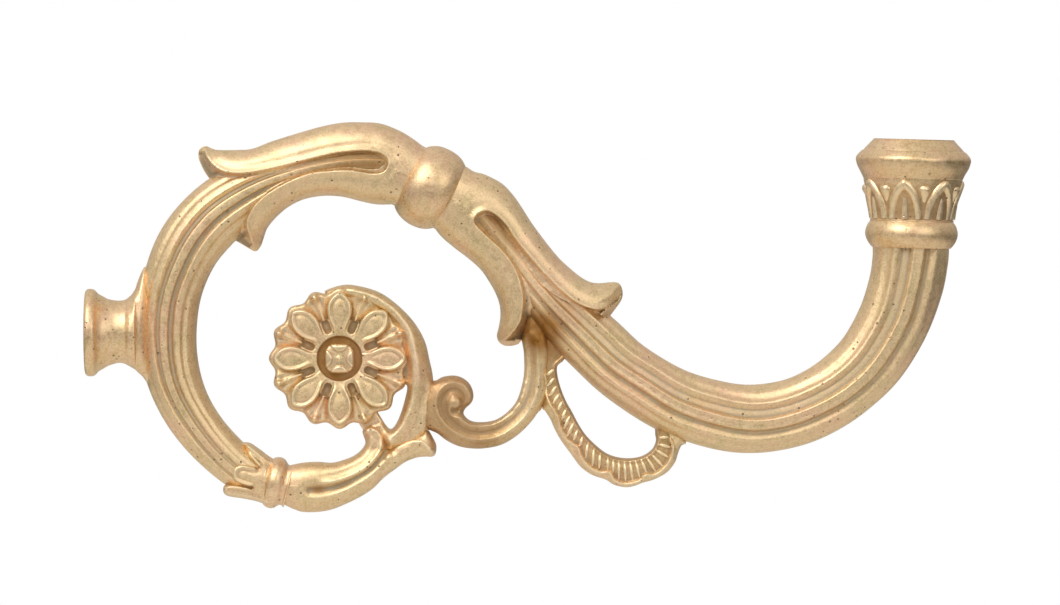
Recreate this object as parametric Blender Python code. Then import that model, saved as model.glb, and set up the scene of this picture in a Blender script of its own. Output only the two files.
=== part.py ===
"""Ornamental cast-brass lamp arm.

Frame: the origin is the centre of the mounting flange's face. The arm runs out along +X and the lamp cup
opens upwards, +Z. The arm is the same on its front (-Y) and on its back (+Y). Lengths below are millimetres
until MM turns them into metres.
"""

from math import cos, pi, radians, sin

import bmesh
import bpy
from mathutils import Vector

# ---------------------------------------------------------------- driving dimensions
MM = 0.001
GAP = 0.3                    # clearance between pieces that touch
WALL = 1.8                   # cast wall of the hollow tubes
THREAD_RADIUS = 4.35         # tapping hole of the standard lamp thread, 10.3 mm over its crests
WIREWAY_RADIUS = 2.6         # passage for the wire through the leaf sleeves
WIRE_HOLE_RADIUS = 4.0       # hole from the flange's bore into the hollow arc
CUP_BASE = (194.15, 19.9)    # where the cup's axis leaves the tube
CUP_LEAN = radians(1.5)      # the cup leans outwards a little
KNOP_BASE = (76.3, 36.8)
KNOP_TIP = (86.1, 31.4)
NIPPLE_RADIUS = 5.0
NIPPLE_BORE = 3.5
NIPPLE_REACH = 5.0           # how far the nipple screws into each leaf sleeve
RING_CENTRE = (44.6, -35.3)  # the ring between the calyx and the scroll
RING_AXIS = Vector((0.97, 0.0, -0.24)).normalized()
SPIGOT_RADIUS = 2.2          # the scroll's spigot through that ring
ROSETTE_CENTRE = (59.9, -6.0)
ROSETTE_RADIUS = 15.4
PETALS = 8
ROUND = 24                   # sides of a turned piece

# Centre lines of the two tubes: x, z, half width, half depth.
ROOT_LINE = [
    (67.6, 40.0, 4.2, 5.2),
    (61.1, 39.8, 4.2, 5.2),
    (51.7, 38.2, 4.4, 5.4),
    (43.0, 35.4, 5.8, 6.2),
    (36.0, 31.6, 7.2, 6.8),
    (29.1, 26.2, 7.6, 7.0),
    (23.5, 19.2, 7.5, 7.0),
    (20.0, 10.0, 7.1, 6.8),
    (18.9, 0.1, 6.9, 6.6),
    (20.0, -8.8, 6.6, 6.4),
    (23.0, -16.8, 6.2, 6.0),
    (27.7, -23.9, 5.8, 5.7),
    (34.1, -30.2, 5.4, 5.4),
    (38.4, -33.1, 4.7, 4.9),
    (42.4, -34.75, 4.3, 4.5),
]
CUP_LINE = [
    (93.4, 26.4, 4.2, 5.2),
    (100.3, 18.0, 4.5, 5.6),
    (106.2, 10.9, 5.6, 6.4),
    (112.8, 3.6, 7.2, 7.2),
    (119.7, -2.8, 7.7, 7.6),
    (126.9, -9.8, 7.8, 7.7),
    (137.7, -16.1, 7.9, 7.8),
    (149.2, -19.6, 8.0, 7.9),
    (157.0, -20.2, 8.0, 7.9),
    (165.7, -18.7, 8.1, 8.0),
    (178.0, -12.8, 8.2, 8.2),
    (184.5, -6.3, 8.4, 8.4),
    (189.9, 2.7, 8.6, 8.6),
    (192.8, 11.5, 8.8, 8.8),
    (193.95, 17.0, 8.9, 8.9),
    (194.05, 19.55, 9.0, 9.0),
]


# ---------------------------------------------------------------- shared tools
def clear_scene():
    for old in list(bpy.data.objects):
        bpy.data.objects.remove(old, do_unlink=True)


def brass(name, colour, roughness):
    material = bpy.data.materials.new(name)
    material.use_nodes = True
    shader = material.node_tree.nodes["Principled BSDF"]
    shader.inputs["Base Color"].default_value = (*colour, 1.0)
    shader.inputs["Roughness"].default_value = roughness
    shader.inputs["Metallic"].default_value = 1.0
    return material


def new_object(name, bm, colour=(0.62, 0.42, 0.2), roughness=0.42):
    """Turns a closed bmesh in millimetres into a named object with its own material."""
    bmesh.ops.scale(bm, vec=(MM, MM, MM), verts=bm.verts)
    bmesh.ops.recalc_face_normals(bm, faces=bm.faces)
    mesh = bpy.data.meshes.new(name)
    bm.to_mesh(mesh)
    bm.free()
    mesh.shade_smooth()
    mesh.set_sharp_from_angle(angle=radians(35))
    thing = bpy.data.objects.new(name, mesh)
    bpy.context.scene.collection.objects.link(thing)
    mesh.materials.append(brass(name, colour, roughness))
    return thing


def cut(thing, cutter, operation="DIFFERENCE"):
    """A Boolean that stays on the object; the cutter is hidden from renders and shown as wire."""
    cutter.hide_render = True
    cutter.display_type = "WIRE"
    boolean = thing.modifiers.new(cutter.name, "BOOLEAN")
    boolean.operation = operation
    boolean.solver = "EXACT"
    boolean.object = cutter


def flowing(rows, steps):
    """Rows of numbers along a smooth curve through the given rows, with steps between each two."""
    out = []
    last = len(rows) - 1
    for index in range(last):
        before = rows[max(index - 1, 0)]
        start = rows[index]
        end = rows[index + 1]
        after = rows[min(index + 2, last)]
        for step in range(steps):
            t = step / steps
            row = []
            for p0, p1, p2, p3 in zip(before, start, end, after):
                bend = 2 * p0 - 5 * p1 + 4 * p2 - p3
                twist = 3 * p1 - p0 - 3 * p2 + p3
                row.append(p1 + 0.5 * t * (p2 - p0 + t * (bend + t * twist)))
            out.append(tuple(row))
    out.append(tuple(rows[last]))
    return out


def skin(rings, closed_ends=True):
    """A bmesh through rings of points, with a flat face over each end."""
    bm = bmesh.new()
    loops = [[bm.verts.new(point) for point in ring] for ring in rings]
    count = len(loops[0])
    for here, there in zip(loops, loops[1:]):
        for k in range(count):
            n = (k + 1) % count
            bm.faces.new((here[k], here[n], there[n], there[k]))
    if closed_ends:
        bm.faces.new(loops[0])
        bm.faces.new(loops[-1])
    return bm


def edge_loft(rows, steps, sides, grow=0.0):
    """A solid between two edges. A row is one edge's x, z, the other edge's x, z, and the half depth."""
    rings = []
    for x1, z1, x2, z2, depth in flowing(rows, steps):
        centre = Vector(((x1 + x2) / 2, 0, (z1 + z2) / 2))
        half = Vector(((x1 - x2) / 2, 0, (z1 - z2) / 2))
        half += half.normalized() * grow
        ring = []
        for k in range(sides):
            angle = 2 * pi * k / sides
            ring.append(centre + half * cos(angle) + Vector((0, (depth + grow) * sin(angle), 0)))
        rings.append(ring)
    return skin(rings)


def line_frames(line, steps):
    """Centre, sideways direction, half width and half depth along a tube's centre line."""
    rows = flowing(line, steps)
    frames = []
    for index, (x, z, width, depth) in enumerate(rows):
        ahead = rows[min(index + 1, len(rows) - 1)]
        behind = rows[max(index - 1, 0)]
        along = Vector((ahead[0] - behind[0], 0, ahead[1] - behind[1])).normalized()
        side = Vector((along.z, 0, -along.x))
        frames.append((Vector((x, 0, z)), side, width, depth))
    return frames


def envelope(name, line, steps, sides, grow):
    """The tube's outer shape, grown by the clearance, for cutting whatever fits around it."""
    rings = []
    frames = line_frames(line, steps)
    for centre, side, width, depth in frames:
        ring = []
        for k in range(sides):
            angle = 2 * pi * k / sides
            across = side * ((width + grow) * cos(angle))
            ring.append(centre + across + Vector((0, (depth + grow) * sin(angle), 0)))
        rings.append(ring)
    for end, neighbour in ((0, 1), (-1, -2)):
        push = (frames[end][0] - frames[neighbour][0]).normalized() * grow
        rings[end] = [point + push for point in rings[end]]
    return new_object(name, skin(rings))


def flute(angle):
    """Depth of the flutes round a half tube: three ridges stand between four shallow channels."""
    across = cos(angle)
    if abs(across) > 0.85:
        return 0.0
    return 0.35 * (1 - cos(4 * pi * across / 0.85)) / 2


def half_shell(name, line, facing, steps=2, outer=14, inner=7):
    """One half of a hollow fluted tube, open towards the other half."""
    rings = []
    for centre, side, width, depth in line_frames(line, steps):
        ring = []
        for k in range(outer + 1):
            angle = pi * k / outer
            shrink = flute(angle)
            across = side * ((width - shrink) * cos(angle))
            out = GAP / 2 + (depth - shrink - GAP / 2) * sin(angle)
            ring.append(centre + across + Vector((0, facing * out, 0)))
        for k in range(inner, -1, -1):
            angle = pi * k / inner
            across = side * ((width - WALL) * cos(angle))
            out = GAP / 2 + (depth - WALL - GAP / 2) * sin(angle)
            ring.append(centre + across + Vector((0, facing * out, 0)))
        rings.append(ring)
    bm = skin(rings, closed_ends=False)
    bm.verts.ensure_lookup_table()
    total = outer + inner + 2
    for start in (0, (len(rings) - 1) * total):
        for k in range(outer):
            near = total - 1 - k * inner // outer
            nearer = total - 1 - (k + 1) * inner // outer
            corners = [bm.verts[start + k], bm.verts[start + k + 1], bm.verts[start + nearer]]
            if near != nearer:
                corners.append(bm.verts[start + near])
            bm.faces.new(corners)
    return new_object(name, bm)


def turned(name, profile, base, axis, sides=ROUND):
    """A turned piece with a bore. Its profile is a closed loop of radius, distance along the axis."""
    start = Vector((base[0], 0, base[1]))
    across = Vector((0, 1, 0))
    up = axis.cross(across).normalized()
    rings = []
    for k in range(sides + 1):
        angle = 2 * pi * (k % sides) / sides
        spoke = across * cos(angle) + up * sin(angle)
        rings.append([start + axis * t + spoke * r for r, t in profile])
    bm = skin(rings, closed_ends=False)
    bmesh.ops.remove_doubles(bm, verts=bm.verts, dist=0.00001)
    return new_object(name, bm)


def rod(name, radius, start, end, sides=16):
    """A plain round bar between two points, for cutting holes or for spigots."""
    axis = (end - start).normalized()
    across = Vector((0, 1, 0))
    up = axis.cross(across).normalized()
    rings = []
    for centre in (start, end):
        ring = []
        for k in range(sides):
            angle = 2 * pi * k / sides
            ring.append(centre + (across * cos(angle) + up * sin(angle)) * radius)
        rings.append(ring)
    return new_object(name, skin(rings))


def prism(name, outline, half_thickness):
    """A flat outline in x, z given the same thickness to the front and to the back."""
    front = [Vector((x, -half_thickness, z)) for x, z in outline]
    back = [Vector((x, half_thickness, z)) for x, z in outline]
    return new_object(name, skin([front, back]))


# ---------------------------------------------------------------- flange and left arc
def mounting_flange():
    profile = [
        (THREAD_RADIUS + 0.6, 0.0),
        (9.6, 0.0),
        (10.3, 0.7),
        (10.2, 2.0),
        (9.2, 3.4),
        (7.9, 5.6),
        (7.3, 7.8),
        (7.5, 10.2),
        (7.9, 12.6),
        (7.9, 16.0),
        (THREAD_RADIUS, 16.0),
        (THREAD_RADIUS, 0.7),
    ]
    flange = turned("mounting_flange", profile, (0, 0), Vector((1, 0, 0)))
    cut(flange, root_envelope)


def root_tube():
    wire_hole = rod("root_wire_hole", WIRE_HOLE_RADIUS, Vector((9, 0, 0)), Vector((19, 0, 0)))
    for name, facing in (("root_tube_front", -1), ("root_tube_back", 1)):
        half = half_shell(name, ROOT_LINE, facing)
        cut(half, wire_hole)


# ---------------------------------------------------------------- knop and leaf sleeves
def leaf_sleeve(name, edges, slot, tube_envelope, wire_line):
    """A leaf sleeve: its outer shape, less the slot between its tongues, the tube's socket and the holes."""
    sleeve = new_object(name, edge_loft(edges, 2, 20))
    cut(sleeve, prism(name + "_slot", slot, 14.0))
    cut(sleeve, tube_envelope)
    cut(sleeve, nipple_hole)
    cut(sleeve, wire_line)


def knop_line():
    """Start, direction and length of the knop."""
    base = Vector((KNOP_BASE[0], 0, KNOP_BASE[1]))
    tip = Vector((KNOP_TIP[0], 0, KNOP_TIP[1]))
    return base, (tip - base).normalized(), (tip - base).length


def knop():
    base, axis, length = knop_line()
    profile = [
        (NIPPLE_RADIUS + GAP, GAP),
        (7.5, GAP),
        (8.8, 1.5),
        (9.6, 3.4),
        (9.85, length / 2),
        (9.6, length - 3.4),
        (8.8, length - 1.5),
        (7.5, length - GAP),
        (NIPPLE_RADIUS + GAP, length - GAP),
    ]
    turned("knop", profile, KNOP_BASE, axis)


def knop_nipple():
    """The hollow nipple that holds both leaf sleeves to the knop. Returns the hole it needs in them."""
    base, axis, length = knop_line()
    profile = [
        (NIPPLE_BORE, -NIPPLE_REACH),
        (NIPPLE_RADIUS, -NIPPLE_REACH),
        (NIPPLE_RADIUS, length + NIPPLE_REACH),
        (NIPPLE_BORE, length + NIPPLE_REACH),
    ]
    turned("knop_nipple", profile, KNOP_BASE, axis, 20)
    hole_start = base - axis * (NIPPLE_REACH + GAP)
    hole_end = base + axis * (length + NIPPLE_REACH + GAP)
    return rod("nipple_hole", NIPPLE_RADIUS + GAP, hole_start, hole_end, 20)


def inner_husk():
    wire_line = rod("inner_wire", WIREWAY_RADIUS, Vector((66.5, 0, 40.4)), knop_line()[0], 12)
    # Each edge row: outer edge x, z, inner edge x, z, half depth.
    inner_edges = [
        (26.8, 42.9, 38.1, 18.4, 8.2),
        (30.8, 42.7, 41.6, 21.5, 8.2),
        (36.9, 43.1, 43.9, 26.0, 8.2),
        (47.5, 45.9, 50.3, 30.7, 7.6),
        (58.5, 49.0, 56.4, 31.8, 7.8),
        (64.4, 49.5, 63.4, 31.1, 8.2),
        (70.5, 48.5, 67.7, 30.4, 8.4),
        (76.1, 46.2, 70.5, 30.2, 8.2),
        (80.0, 43.55, 72.6, 30.05, 7.6),
    ]
    inner_slot = [
        (22.3, 40.5),
        (26.8, 41.0),
        (34.1, 37.7),
        (41.1, 38.0),
        (51.7, 40.3),
        (60.2, 41.9),
        (65.0, 42.7),
        (66.9, 41.9),
        (67.3, 40.3),
        (66.6, 38.2),
        (64.0, 37.6),
        (58.0, 38.2),
        (51.7, 37.5),
        (45.8, 34.2),
        (40.4, 29.5),
        (38.3, 25.3),
        (39.2, 20.0),
        (36.0, 14.0),
        (22.3, 27.6),
    ]
    leaf_sleeve("inner_husk", inner_edges, inner_slot, root_envelope, wire_line)


def outer_husk():
    tip = Vector((KNOP_TIP[0], 0, KNOP_TIP[1]))
    wire_line = rod("outer_wire", WIREWAY_RADIUS, tip, Vector((94.8, 0, 24.7)), 12)
    outer_edges = [
        (89.9, 38.3, 82.3, 24.5, 7.8),
        (93.5, 37.2, 84.6, 22.0, 8.3),
        (97.3, 34.7, 87.7, 19.2, 8.5),
        (101.3, 30.9, 91.6, 16.1, 8.3),
        (107.2, 22.7, 95.4, 11.9, 8.2),
        (113.0, 15.6, 97.3, 7.2, 8.6),
        (118.7, 12.1, 97.5, 2.5, 9.0),
        (123.8, 12.1, 97.3, -0.8, 9.0),
        (126.2, 10.7, 97.5, -2.7, 9.0),
    ]
    outer_slot = [
        (93.4, 26.9),
        (94.2, 28.6),
        (95.4, 28.2),
        (96.6, 26.8),
        (101.3, 21.0),
        (107.2, 14.9),
        (110.9, 10.2),
        (116.8, 6.7),
        (120.8, 6.0),
        (128.0, 7.4),
        (132.8, -1.8),
        (121.0, -13.5),
        (104.6, -13.5),
        (99.6, -1.5),
        (102.2, 1.8),
        (103.2, 6.5),
        (102.5, 11.2),
        (100.6, 15.6),
        (97.3, 19.6),
        (94.1, 24.6),
    ]
    leaf_sleeve("outer_husk", outer_edges, outer_slot, cup_envelope, wire_line)
    return new_object("outer_husk_envelope", edge_loft(outer_edges, 2, 20, GAP))


# ---------------------------------------------------------------- cup tube and cup
def cup_tube():
    half_shell("cup_tube_front", CUP_LINE, -1)
    half_shell("cup_tube_back", CUP_LINE, 1)


def lamp_cup():
    axis = Vector((sin(CUP_LEAN), 0, cos(CUP_LEAN)))
    ring = [
        (6.6, 0.3),
        (9.2, 0.3),
        (10.2, 1.2),
        (10.8, 3.0),
        (10.6, 4.8),
        (9.9, 6.3),
        (6.6, 6.3),
    ]
    turned("cup_ring", ring, CUP_BASE, axis)
    capital = [
        (THREAD_RADIUS, -6.0),
        (6.3, -6.0),
        (6.3, 6.6),
        (9.7, 6.6),
        (10.1, 9.0),
        (10.8, 11.5),
        (11.5, 14.0),
        (11.8, 16.0),
        (8.3, 16.0),
        (8.3, 12.5),
        (THREAD_RADIUS, 12.5),
    ]
    turned("capital", capital, CUP_BASE, axis)
    collar = [
        (THREAD_RADIUS, 12.8),
        (8.0, 12.8),
        (8.0, 16.3),
        (11.7, 16.3),
        (12.3, 17.4),
        (13.3, 19.4),
        (13.55, 20.6),
        (13.2, 21.6),
        (11.4, 23.0),
        (10.6, 23.8),
        (9.4, 25.5),
        (THREAD_RADIUS + 0.6, 25.5),
        (THREAD_RADIUS, 24.9),
    ]
    turned("socket_collar", collar, CUP_BASE, axis)


# ---------------------------------------------------------------- scroll at the arc's lower end
def calyx_and_ring():
    edges = [
        (36.7, -26.0, 32.4, -35.6, 6.2),
        (38.5, -26.2, 33.8, -38.0, 6.6),
        (41.4, -28.0, 38.1, -39.2, 6.2),
        (44.0, -29.5, 41.4, -40.1, 5.8),
    ]
    calyx = new_object("calyx", edge_loft(edges, 2, 20))
    cut(calyx, root_envelope)
    centre = Vector((RING_CENTRE[0], 0, RING_CENTRE[1]))
    spigot_hole = rod("calyx_hole", SPIGOT_RADIUS + GAP, centre - RING_AXIS * 6, centre)
    cut(calyx, spigot_hole)
    notches = (
        [(37.1, -26.0), (41.0, -31.8), (34.0, -31.8), (34.0, -26.0)],
        [(34.0, -34.4), (39.5, -36.3), (31.0, -36.9), (30.0, -34.4)],
    )
    for number, outline in enumerate(notches):
        cut(calyx, prism("calyx_notch_%d" % number, outline, 12.0))
    ring = [
        (SPIGOT_RADIUS + GAP, -1.5),
        (5.2, -1.5),
        (5.8, -0.9),
        (6.0, 0.0),
        (5.8, 0.9),
        (5.2, 1.5),
        (SPIGOT_RADIUS + GAP, 1.5),
    ]
    turned("scroll_ring", ring, RING_CENTRE, RING_AXIS)


def scroll():
    lower_edges = [
        (47.6, -30.9, 45.3, -40.3, 4.9),
        (50.5, -30.7, 48.6, -41.5, 5.6),
        (54.8, -30.4, 54.3, -42.2, 5.8),
        (59.9, -31.2, 59.9, -41.2, 5.4),
        (64.4, -33.0, 65.3, -38.4, 4.6),
        (68.9, -30.7, 71.0, -34.4, 4.2),
        (73.6, -27.6, 75.2, -30.9, 4.0),
        (77.5, -25.3, 79.0, -29.3, 3.8),
        (81.6, -25.4, 82.2, -28.9, 3.2),
    ]
    upper_edges = [
        (56.4, -30.6, 56.4, -36.0, 4.6),
        (60.4, -30.2, 61.6, -34.0, 4.8),
        (63.9, -28.8, 65.6, -32.0, 4.6),
        (65.4, -26.4, 69.1, -28.1, 4.4),
        (65.2, -24.3, 70.0, -25.3, 4.2),
        (64.2, -21.3, 70.4, -22.3, 4.0),
    ]
    stem_edges = [
        (72.8, -30.4, 67.4, -26.9, 3.6),
        (79.7, -24.6, 71.6, -22.9, 4.2),
        (80.8, -19.4, 74.3, -19.2, 4.2),
        (81.5, -14.7, 75.4, -14.5, 4.0),
        (81.8, -10.5, 75.7, -10.0, 4.0),
        (81.0, -6.5, 74.4, -6.5, 3.9),
        (79.8, -1.8, 73.5, -2.9, 3.8),
        (77.0, 2.9, 71.6, 0.8, 3.6),
        (72.6, 7.2, 68.3, 3.6, 3.4),
        (68.4, 9.8, 65.0, 5.9, 3.2),
        (62.7, 11.1, 61.8, 7.8, 3.0),
        (58.8, 10.9, 58.8, 8.8, 2.6),
    ]
    stem = new_object("scroll_stem", edge_loft(stem_edges, 2, 12))
    disc_start = Vector((ROSETTE_CENTRE[0], -12, ROSETTE_CENTRE[1]))
    disc_end = Vector((ROSETTE_CENTRE[0], 12, ROSETTE_CENTRE[1]))
    disc = across_rod("rosette_disc", ROSETTE_RADIUS + GAP, disc_start, disc_end, 48)
    cut(stem, disc)

    husk = new_object("scroll_husk", edge_loft(lower_edges, 2, 16))
    upper = new_object("scroll_husk_upper", edge_loft(upper_edges, 2, 12))
    cut(husk, upper, "UNION")
    centre = Vector((RING_CENTRE[0], 0, RING_CENTRE[1]))
    spigot = rod("scroll_spigot", SPIGOT_RADIUS, centre - RING_AXIS * 4.5, centre + RING_AXIS * 3.0)
    cut(husk, spigot, "UNION")
    cut(husk, new_object("stem_envelope", edge_loft(stem_edges, 2, 12, GAP)))
    cut(husk, disc)
    return new_object("stem_envelope_link", edge_loft(stem_edges, 2, 12, GAP))


def across_rod(name, radius, start, end, sides):
    """A round bar that runs from front to back."""
    rings = []
    for centre in (start, end):
        ring = []
        for k in range(sides):
            angle = 2 * pi * k / sides
            ring.append(centre + Vector((cos(angle), 0, sin(angle))) * radius)
        rings.append(ring)
    return new_object(name, skin(rings))


# ---------------------------------------------------------------- rosette
def petal_height(radius, angle):
    """Height of a flower's face above the joint between the two flowers."""
    turn = 2 * pi / PETALS
    off = abs((angle + turn / 2) % turn - turn / 2) * radius
    if radius < 5.4:
        return 3.2
    if radius < 6.2:
        return 4.6
    half_width = 3.4 * sin(pi * min(max((radius - 2.0) / 13.6, 0.0), 1.0)) ** 0.8
    if off < half_width:
        return 2.6 + 2.2 * cos(pi / 2 * off / half_width) ** 0.5
    return 2.6


def flower(name, facing):
    hole = 2.5
    radii = [hole, 3.9, 5.4, 6.4, 9.0, 12.0, 14.2, ROSETTE_RADIUS]
    spokes = 48
    centre = Vector((ROSETTE_CENTRE[0], 0, ROSETTE_CENTRE[1]))
    rings = []
    joint = GAP / 2
    for k in range(spokes + 1):
        angle = 2 * pi * (k % spokes) / spokes
        spoke = Vector((sin(angle), 0, cos(angle)))
        scallop = 1 - 0.025 * (1 - abs(cos(PETALS * angle)))
        ring = [centre + spoke * hole + Vector((0, facing * joint, 0))]
        for radius in radii:
            height = petal_height(radius, angle)
            if radius == ROSETTE_RADIUS:
                height = 1.8
            ring.append(centre + spoke * (radius * scallop) + Vector((0, facing * height, 0)))
        rim = centre + spoke * (ROSETTE_RADIUS * scallop)
        ring.append(rim + Vector((0, facing * joint, 0)))
        rings.append(ring)
    bm = skin(rings, closed_ends=False)
    bmesh.ops.remove_doubles(bm, verts=bm.verts, dist=0.00001)
    new_object(name, bm)


def rosette_pin():
    """A rivet through both flowers. Its two heads are the square bosses at their centres."""
    centre = Vector((ROSETTE_CENTRE[0], 0, ROSETTE_CENTRE[1]))
    profile = [(0.8, -5.1), (2.6, -4.9), (3.4, -3.5), (2.2, -3.5)]
    profile += [(radius, -along) for radius, along in reversed(profile)]
    sides = 16
    rings = []
    for radius, along in profile:
        ring = []
        for k in range(sides):
            angle = 2 * pi * k / sides
            spoke = Vector((cos(angle), 0, sin(angle)))
            ring.append(centre + spoke * radius + Vector((0, along, 0)))
        rings.append(ring)
    new_object("rosette_pin", skin(rings))


# ---------------------------------------------------------------- link scroll and garland
def link_scroll(husk_envelope, stem_envelope):
    edges = [
        (80.5, -22.5, 85.5, -18.5, 3.4),
        (84.6, -25.3, 88.0, -18.9, 3.8),
        (88.8, -26.9, 89.8, -19.9, 3.9),
        (92.8, -27.4, 92.8, -21.0, 3.9),
        (96.8, -26.9, 96.3, -20.3, 3.9),
        (100.8, -24.8, 99.4, -18.4, 3.9),
        (104.6, -21.5, 101.5, -16.1, 3.9),
        (107.0, -18.0, 102.7, -12.3, 3.8),
        (107.4, -14.0, 103.2, -8.8, 3.7),
        (106.6, -10.0, 103.2, -5.3, 3.6),
        (105.9, -6.0, 102.2, -2.6, 3.5),
        (106.6, 0.6, 101.0, 0.6, 3.4),
    ]
    link = new_object("link_scroll", edge_loft(edges, 2, 12))
    volute = across_rod("volute", 5.6, Vector((86.0, -3.4, -16.1)), Vector((86.0, 3.4, -16.1)), 20)
    cut(link, volute, "UNION")
    nub = across_rod("volute_nub", 1.4, Vector((87.1, -4.2, -16.5)), Vector((87.1, 4.2, -16.5)), 12)
    cut(link, nub, "UNION")
    cut(link, stem_envelope)
    cut(link, husk_envelope)
    cut(link, cup_envelope)
    return new_object("link_envelope", edge_loft(edges, 2, 12, GAP))


def garland(husk_envelope, link_envelope):
    edges = [
        (113.0, -3.6, 104.6, -2.4, 3.6),
        (110.9, -8.6, 106.0, -8.6, 3.8),
        (112.1, -12.3, 107.2, -13.5, 3.9),
        (113.5, -16.3, 108.6, -18.0, 4.0),
        (115.6, -21.0, 110.7, -24.3, 4.0),
        (118.7, -25.3, 114.9, -29.7, 4.0),
        (122.0, -28.1, 119.4, -33.3, 4.0),
        (125.7, -29.5, 124.5, -36.1, 4.0),
        (129.5, -29.3, 130.4, -35.6, 4.0),
        (132.5, -27.8, 135.8, -33.3, 4.0),
        (133.9, -26.0, 138.9, -29.0, 3.9),
        (133.7, -22.4, 141.2, -25.0, 3.8),
    ]
    loop = new_object("garland", edge_loft(edges, 2, 12))
    cut(loop, cup_envelope)
    cut(loop, husk_envelope)
    cut(loop, link_envelope)


# ---------------------------------------------------------------- assembly
clear_scene()
root_envelope = envelope("root_envelope", ROOT_LINE, 2, 28, GAP)
cup_envelope = envelope("cup_envelope", CUP_LINE, 2, 28, GAP)
mounting_flange()
root_tube()
knop()
nipple_hole = knop_nipple()
inner_husk()
husk_envelope = outer_husk()
cup_tube()
lamp_cup()
calyx_and_ring()
stem_envelope = scroll()
flower("rosette_front", -1)
flower("rosette_back", 1)
rosette_pin()
link_envelope = link_scroll(husk_envelope, stem_envelope)
garland(husk_envelope, link_envelope)
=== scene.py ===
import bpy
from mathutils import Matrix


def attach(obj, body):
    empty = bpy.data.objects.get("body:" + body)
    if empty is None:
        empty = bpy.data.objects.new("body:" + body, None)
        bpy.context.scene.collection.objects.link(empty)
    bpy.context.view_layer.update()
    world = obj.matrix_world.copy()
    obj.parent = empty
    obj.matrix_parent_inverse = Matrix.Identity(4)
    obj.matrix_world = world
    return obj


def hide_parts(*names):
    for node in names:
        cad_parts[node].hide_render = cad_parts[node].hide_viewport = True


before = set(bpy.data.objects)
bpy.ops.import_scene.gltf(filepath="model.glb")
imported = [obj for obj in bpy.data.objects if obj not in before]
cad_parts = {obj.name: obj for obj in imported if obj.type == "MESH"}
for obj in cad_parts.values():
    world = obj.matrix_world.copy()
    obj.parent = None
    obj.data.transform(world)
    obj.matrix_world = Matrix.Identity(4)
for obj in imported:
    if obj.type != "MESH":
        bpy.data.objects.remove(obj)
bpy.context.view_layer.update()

from math import cos, pi, radians, sin

import bmesh
import bpy
import numpy as np
from mathutils import Matrix, Vector
from mathutils.geometry import delaunay_2d_cdt

scene = bpy.context.scene

# ================================================================ camera, floor and light
# The arm is seen square on from its front, from a little above, through a long lens. It hangs in a plain
# white studio over a round pale table, with one wide soft light above it to the left and a weaker one to the
# right.
MM = 0.001
VIEW_CENTRE = Vector((0.1046, 0.0, 0.00705))
VIEW_WIDTH = 0.2491
VIEW_DISTANCE = 2.2
VIEW_HEIGHT = radians(1.2)
TABLE_HEIGHT = -0.11
TABLE_RADIUS = 0.32

lens = bpy.data.cameras.new("camera")
lens.sensor_width = 36.0
lens.lens = lens.sensor_width * VIEW_DISTANCE / VIEW_WIDTH
lens.clip_start = 0.01
lens.clip_end = 20.0
camera = bpy.data.objects.new("camera", lens)
camera.location = VIEW_CENTRE + VIEW_DISTANCE * Vector((0.0, -cos(VIEW_HEIGHT), sin(VIEW_HEIGHT)))
camera.rotation_euler = (pi / 2 - VIEW_HEIGHT, 0.0, 0.0)
scene.collection.objects.link(camera)
scene.camera = camera
scene.view_settings.view_transform = "Standard"


class Wire:
    """A node's output. Arithmetic on it adds Math nodes, and node() adds any other node."""

    def __init__(self, tree, socket=None):
        self.tree = tree
        self.socket = socket

    def feed(self, slot, value):
        if isinstance(value, Wire):
            self.tree.links.new(slot, value.socket)
        else:
            slot.default_value = value

    def node(self, kind, settings=None, inputs=None, out=0):
        node = self.tree.nodes.new(kind)
        for setting, value in (settings or {}).items():
            if setting == "curve":
                line = node.mapping.curves[0]
                while len(line.points) < len(value):
                    line.points.new(0.5, 0.5)
                for point, place in zip(line.points, value):
                    point.location = place
                node.mapping.update()
            else:
                setattr(node, setting, value)
        for key, value in (inputs or {}).items():
            self.feed(node.inputs[key], value)
        return Wire(self.tree, node.outputs[out])

    def maths(self, operation, first, second=0.0):
        return self.node("ShaderNodeMath", {"operation": operation}, {0: first, 1: second})

    def __add__(self, other):
        return self.maths("ADD", self, other)

    def __radd__(self, other):
        return self.maths("ADD", other, self)

    def __sub__(self, other):
        return self.maths("SUBTRACT", self, other)

    def __rsub__(self, other):
        return self.maths("SUBTRACT", other, self)

    def __mul__(self, other):
        return self.maths("MULTIPLY", self, other)

    def __rmul__(self, other):
        return self.maths("MULTIPLY", other, self)

    def __truediv__(self, other):
        return self.maths("DIVIDE", self, other)


def soft_studio():
    """A white room for the camera. The metal sees it bright above, paler level with it and dim below."""
    world = bpy.data.worlds.new("studio")
    world.use_nodes = True
    scene.world = world
    tree = world.node_tree
    bench = Wire(tree)
    way = bench.node("ShaderNodeTexCoord", out="Generated")
    side = bench.node("ShaderNodeSeparateXYZ", {}, {0: way}, out="X")
    up = bench.node("ShaderNodeSeparateXYZ", {}, {0: way}, out="Z")
    glow = bench.node("ShaderNodeFloatCurve", {"curve": [(0.0, 0.2), (0.4, 0.36), (0.55, 0.62), (0.8, 0.92),
                                                         (1.0, 1.0)]}, {"Value": up * 0.5 + 0.5})
    seen = bench.node("ShaderNodeLightPath", out="Is Camera Ray")
    strength = seen + (1.0 - seen) * (glow * 0.77 - side * 0.12)
    background = tree.nodes["Background"]
    background.inputs["Color"].default_value = (1.0, 1.0, 1.0, 1.0)
    bench.feed(background.inputs["Strength"], strength)


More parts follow.
